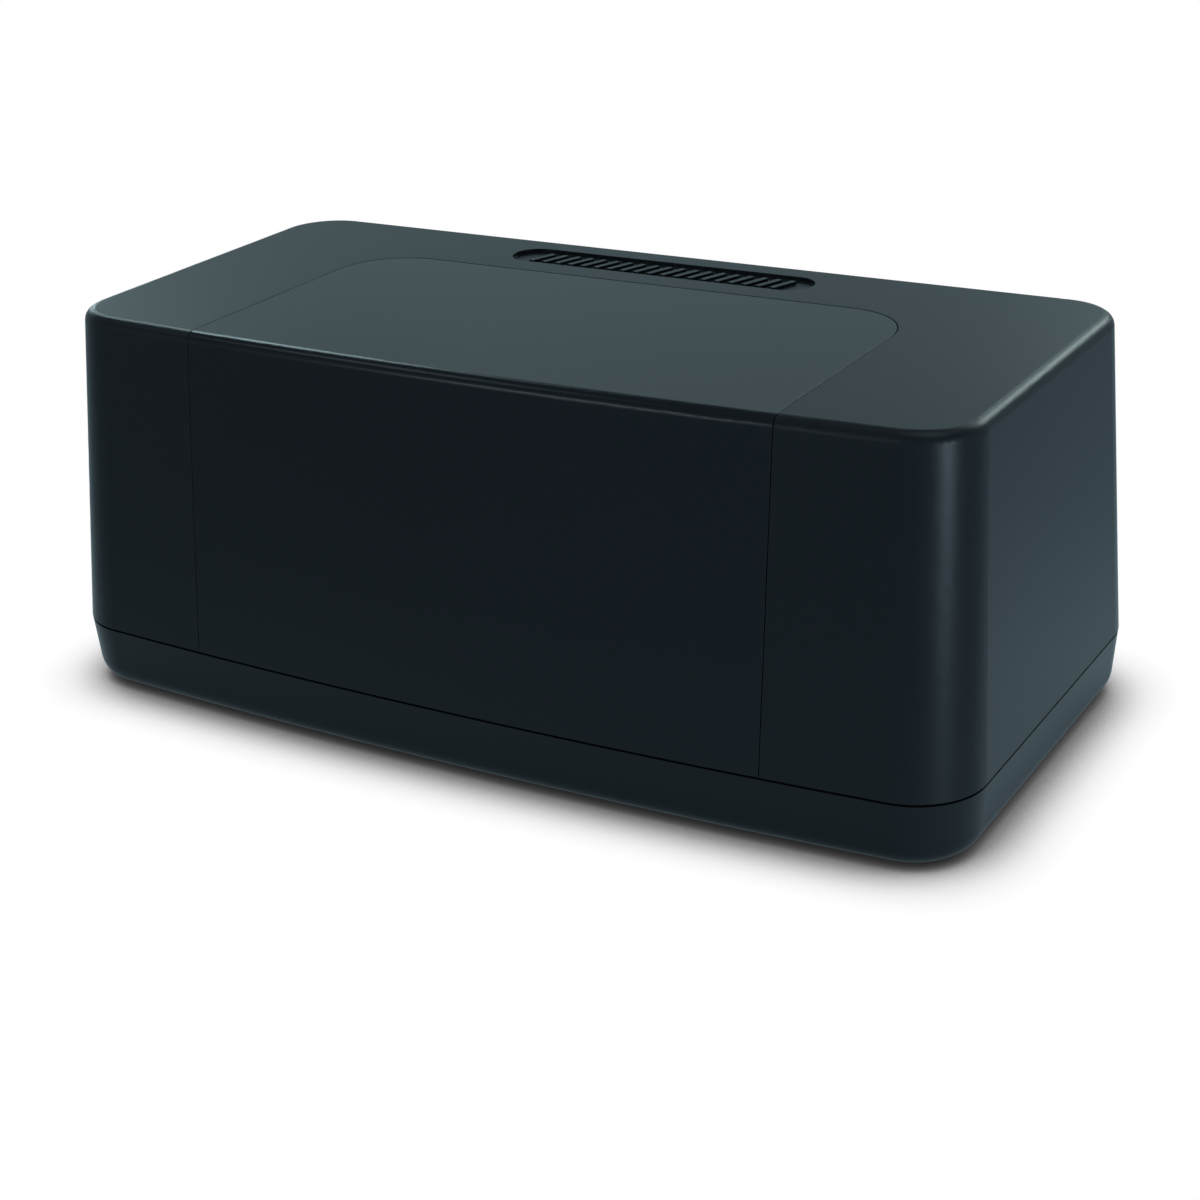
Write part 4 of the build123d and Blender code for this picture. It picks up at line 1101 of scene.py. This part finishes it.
@dataclass
class Studio:
    """Pale floor, plain soft light, white surroundings and the camera.

    Attributes:
        focal, yaw, pitch, roll, place: The camera's lens in millimetres, its angles in degrees and its place.
        floor_half: Half of the floor's width.
        sky_strength, sky_colour: Level and colour of the light from all round.
        backdrop: Colours that glossy surfaces see round the object, by the height of the view.
        light_pool: Colours that they see on the floor, by the distance from the object's middle.
        shadow_reach, shadow_samples: How far the soft shadow reaches, and its samples.
        shadow_curve: Pairs of openness and the floor's brightness.
        reflected_shadow: How bright the shadow's darkest part is in reflections.
        lamps: The lamps.
    """

    focal: float = 69.04
    yaw: float = 30.548
    pitch: float = 23.150
    roll: float = -2.200
    place: Point = (0.31358, -0.52460, 0.28629)
    floor_half: float = 6.0
    sky_strength: float = 0.25
    sky_colour: Colour = (0.9, 1.0, 1.03)
    backdrop: Stops = (
        (0.00, (0.50, 0.70, 0.80)), (0.26, (0.38, 0.57, 0.60)), (0.44, (0.48, 0.58, 0.74)),
        (0.62, (0.09, 0.14, 0.15)), (1.00, (0.12, 0.20, 0.20)))
    light_pool: Stops = (
        (0.18, (0.63, 0.89, 1.00)), (0.29, (0.43, 0.63, 0.73)), (0.50, (0.35, 0.51, 0.59)),
        (0.90, (0.34, 0.49, 0.57)))
    shadow_reach: float = 0.021
    shadow_samples: int = 16
    shadow_curve: tuple[tuple[float, float], ...] = (
        (0.0, 0.02), (0.25, 0.045), (0.42, 0.13), (0.66, 0.55), (0.84, 0.87), (1.0, 1.0))
    reflected_shadow: float = 0.38
    lamps: list[Softbox] = field(default_factory=lambda: [
        Softbox("top_lamp", 0.0, 80.0, 1.6, (1.0, 1.0), 10.0, (0.80, 1.0, 1.05)),
        Softbox("back_left_lamp", 143.0, 36.0, 1.6, (0.4, 0.3), 4.5, (0.72, 1.0, 1.04)),
        Softbox("back_right_lamp", 75.0, 28.0, 1.6, (0.6, 0.4), 9.3, (0.80, 1.0, 0.98)),
        Softbox("back_lamp", 110.0, 30.0, 1.6, (0.9, 0.4), 0.6, (0.70, 1.0, 1.0)),
        Softbox("left_lamp", -150.0, 50.0, 1.6, (0.4, 0.3), 2.0, (0.80, 1.0, 1.05)),
        Softbox("front_low_lamp", -115.0, 14.0, 1.6, (0.5, 0.1), 3.5, (0.85, 1.0, 1.1)),
        Softbox("corner_lamp", -25.5, 1.5, 1.3, (0.34, 0.14), 14.5, (0.72, 1.0, 1.15)),
        Softbox("left_rim_lamp", 146.0, 12.0, 1.6, (0.3, 0.2), 1.6, (0.75, 1.0, 1.05)),
        Softbox("back_near_lamp", 96.0, 26.0, 1.6, (0.3, 0.12), 0.9, (0.78, 1.0, 1.05)),
    ])

    def camera(self) -> None:
        """Make the camera and use it for the scene."""
        yaw, pitch, roll = (radians(angle) for angle in (self.yaw, self.pitch, self.roll))
        back = Vector((sin(yaw) * cos(pitch), -cos(yaw) * cos(pitch), sin(pitch)))
        level_right = Vector(Z_WAY).cross(back).normalized()
        level_up = back.cross(level_right)
        right = level_right * cos(roll) + level_up * sin(roll)
        up = level_up * cos(roll) - level_right * sin(roll)
        data = bpy.data.cameras.new("photo_camera")
        data.sensor_width = 36.0
        data.lens = self.focal
        data.clip_start = 0.01
        camera = bpy.data.objects.new("photo_camera", data)
        bpy.context.collection.objects.link(camera)
        turn = Matrix((right, up, back)).transposed()
        camera.matrix_world = Matrix.LocRotScale(Vector(self.place), turn.to_quaternion(), None)
        bpy.context.scene.camera = camera

    def ray_share(self, tree: Tree, *names: str) -> Socket:
        """Tell some kinds of ray from the others.

        Args:
            tree: The node tree of the floor or the world.
            names: The Light Path outputs to look for.

        Returns:
            A value that is 1 for rays of those kinds and 0 for the others.
        """
        path = tree.nodes.new("ShaderNodeLightPath")
        share = path.outputs[names[0]]
        for name in names[1:]:
            share = worked_out(tree, "MAXIMUM", share, path.outputs[name])
        return share

    def show_background(self, tree: Tree, lighting: Socket, seen: Socket, reflected: Socket,
                        output: Socket) -> None:
        """Choose what a ray meets: the light, the white background or its reflection.

        Args:
            tree: The node tree of the floor or the world.
            lighting: Shader for the rays that light the object.
            seen: Shader for camera rays.
            reflected: Shader for glossy and transmission rays.
            output: Socket that takes the choice.
        """
        glossy = self.ray_share(tree, "Is Glossy Ray", "Is Transmission Ray")
        mirror = mixed_shader(tree, glossy, lighting, reflected)
        tree.links.new(mixed_shader(tree, self.ray_share(tree, "Is Camera Ray"), mirror, seen), output)

    def world(self) -> None:
        """Make the surroundings: white to the eye, banded in reflections and dim as a light."""
        world = bpy.data.worlds.new("studio")
        bpy.context.scene.world = world
        world.use_nodes = True
        tree = world.node_tree
        dim = tree.nodes["Background"]
        dim.inputs["Color"].default_value = (*self.sky_colour, 1.0)
        dim.inputs["Strength"].default_value = self.sky_strength
        white = add_node(tree, "Background", Color=(1.0, 1.0, 1.0, 1.0), Strength=1.0)
        coordinates = tree.nodes.new("ShaderNodeTexCoord")
        height = tree.nodes.new("ShaderNodeSeparateXYZ")
        tree.links.new(coordinates.outputs["Generated"], height.inputs[0])
        backdrop = add_node(tree, "Background", Strength=1.0)
        tree.links.new(ramp_colour(tree, height.outputs["Z"], self.backdrop), backdrop.inputs["Color"])
        self.show_background(tree, dim.outputs[0], white.outputs[0], backdrop.outputs[0],
                             tree.nodes["World Output"].inputs["Surface"])

    def floor_paper(self) -> bpy.types.Material:
        """Make the floor's paper, white to the eye with the object's soft shadow on it.

        Returns:
            The floor's material.
        """
        build = MaterialBuilder("floor_paper")
        tree = build.tree
        fibres = build.ranged(build.noise(60.0, roughness=0.6), 0.0, 1.0)
        build.link(mixed_colour(tree, fibres, (0.86, 0.86, 0.86), (0.9, 0.9, 0.9)), "Base Color")
        build.set(Roughness=0.9, Specular_IOR_Level=0.1)
        near = add_node(tree, "AmbientOcclusion", Distance=self.shadow_reach)
        near.samples = self.shadow_samples
        shadow = tree.nodes.new("ShaderNodeFloatCurve")
        points = shadow.mapping.curves[0].points
        while len(points) < len(self.shadow_curve):
            points.new(0.5, 0.5)
        for point, place in zip(points, self.shadow_curve):
            point.location = place
        shadow.mapping.update()
        tree.links.new(near.outputs["AO"], shadow.inputs["Value"])
        white = add_node(tree, "Emission", Color=(1.0, 1.0, 1.0, 1.0))
        tree.links.new(shadow.outputs[0], white.inputs["Strength"])
        reach = tree.nodes.new("ShaderNodeVectorMath")
        reach.operation = "LENGTH"
        tree.links.new(build.mapping.outputs["Vector"], reach.inputs[0])
        reflected = add_node(tree, "Emission")
        softened = build.ranged(shadow.outputs[0], self.reflected_shadow, 1.0, start=0.0, end=1.0)
        tree.links.new(softened, reflected.inputs["Strength"])
        tree.links.new(ramp_colour(tree, reach.outputs["Value"], self.light_pool), reflected.inputs["Color"])
        self.show_background(tree, build.shader.outputs[0], white.outputs[0], reflected.outputs[0],
                             tree.nodes["Material Output"].inputs["Surface"])
        return build.material

    def floor(self) -> None:
        """Lay the pale floor."""
        Bench.clear()
        bpy.ops.mesh.primitive_plane_add(size=2.0 * self.floor_half, location=(0.0, 0.0, 0.0))
        floor = bpy.context.active_object
        floor.name = "studio_floor"
        floor.data.materials.append(self.floor_paper())

    def build(self) -> None:
        """Put the whole studio up."""
        self.camera()
        self.world()
        self.floor()
        for lamp in self.lamps:
            lamp.light()
        bpy.context.scene.view_settings.view_transform = "Standard"


def main() -> None:
    """Build the studio and dress the antenna, one sub-assembly after the other."""
    logging.basicConfig(level=logging.INFO, format="%(message)s")
    wardrobe = Wardrobe()
    Studio().build()
    for part in (Casing(), FlipCover(), ControlBay(), Controls(), Receiver()):
        part.dress(wardrobe)
        part.model(wardrobe)
        log.info("%s done", type(part).__name__)


if __name__ == "__main__":
    main()
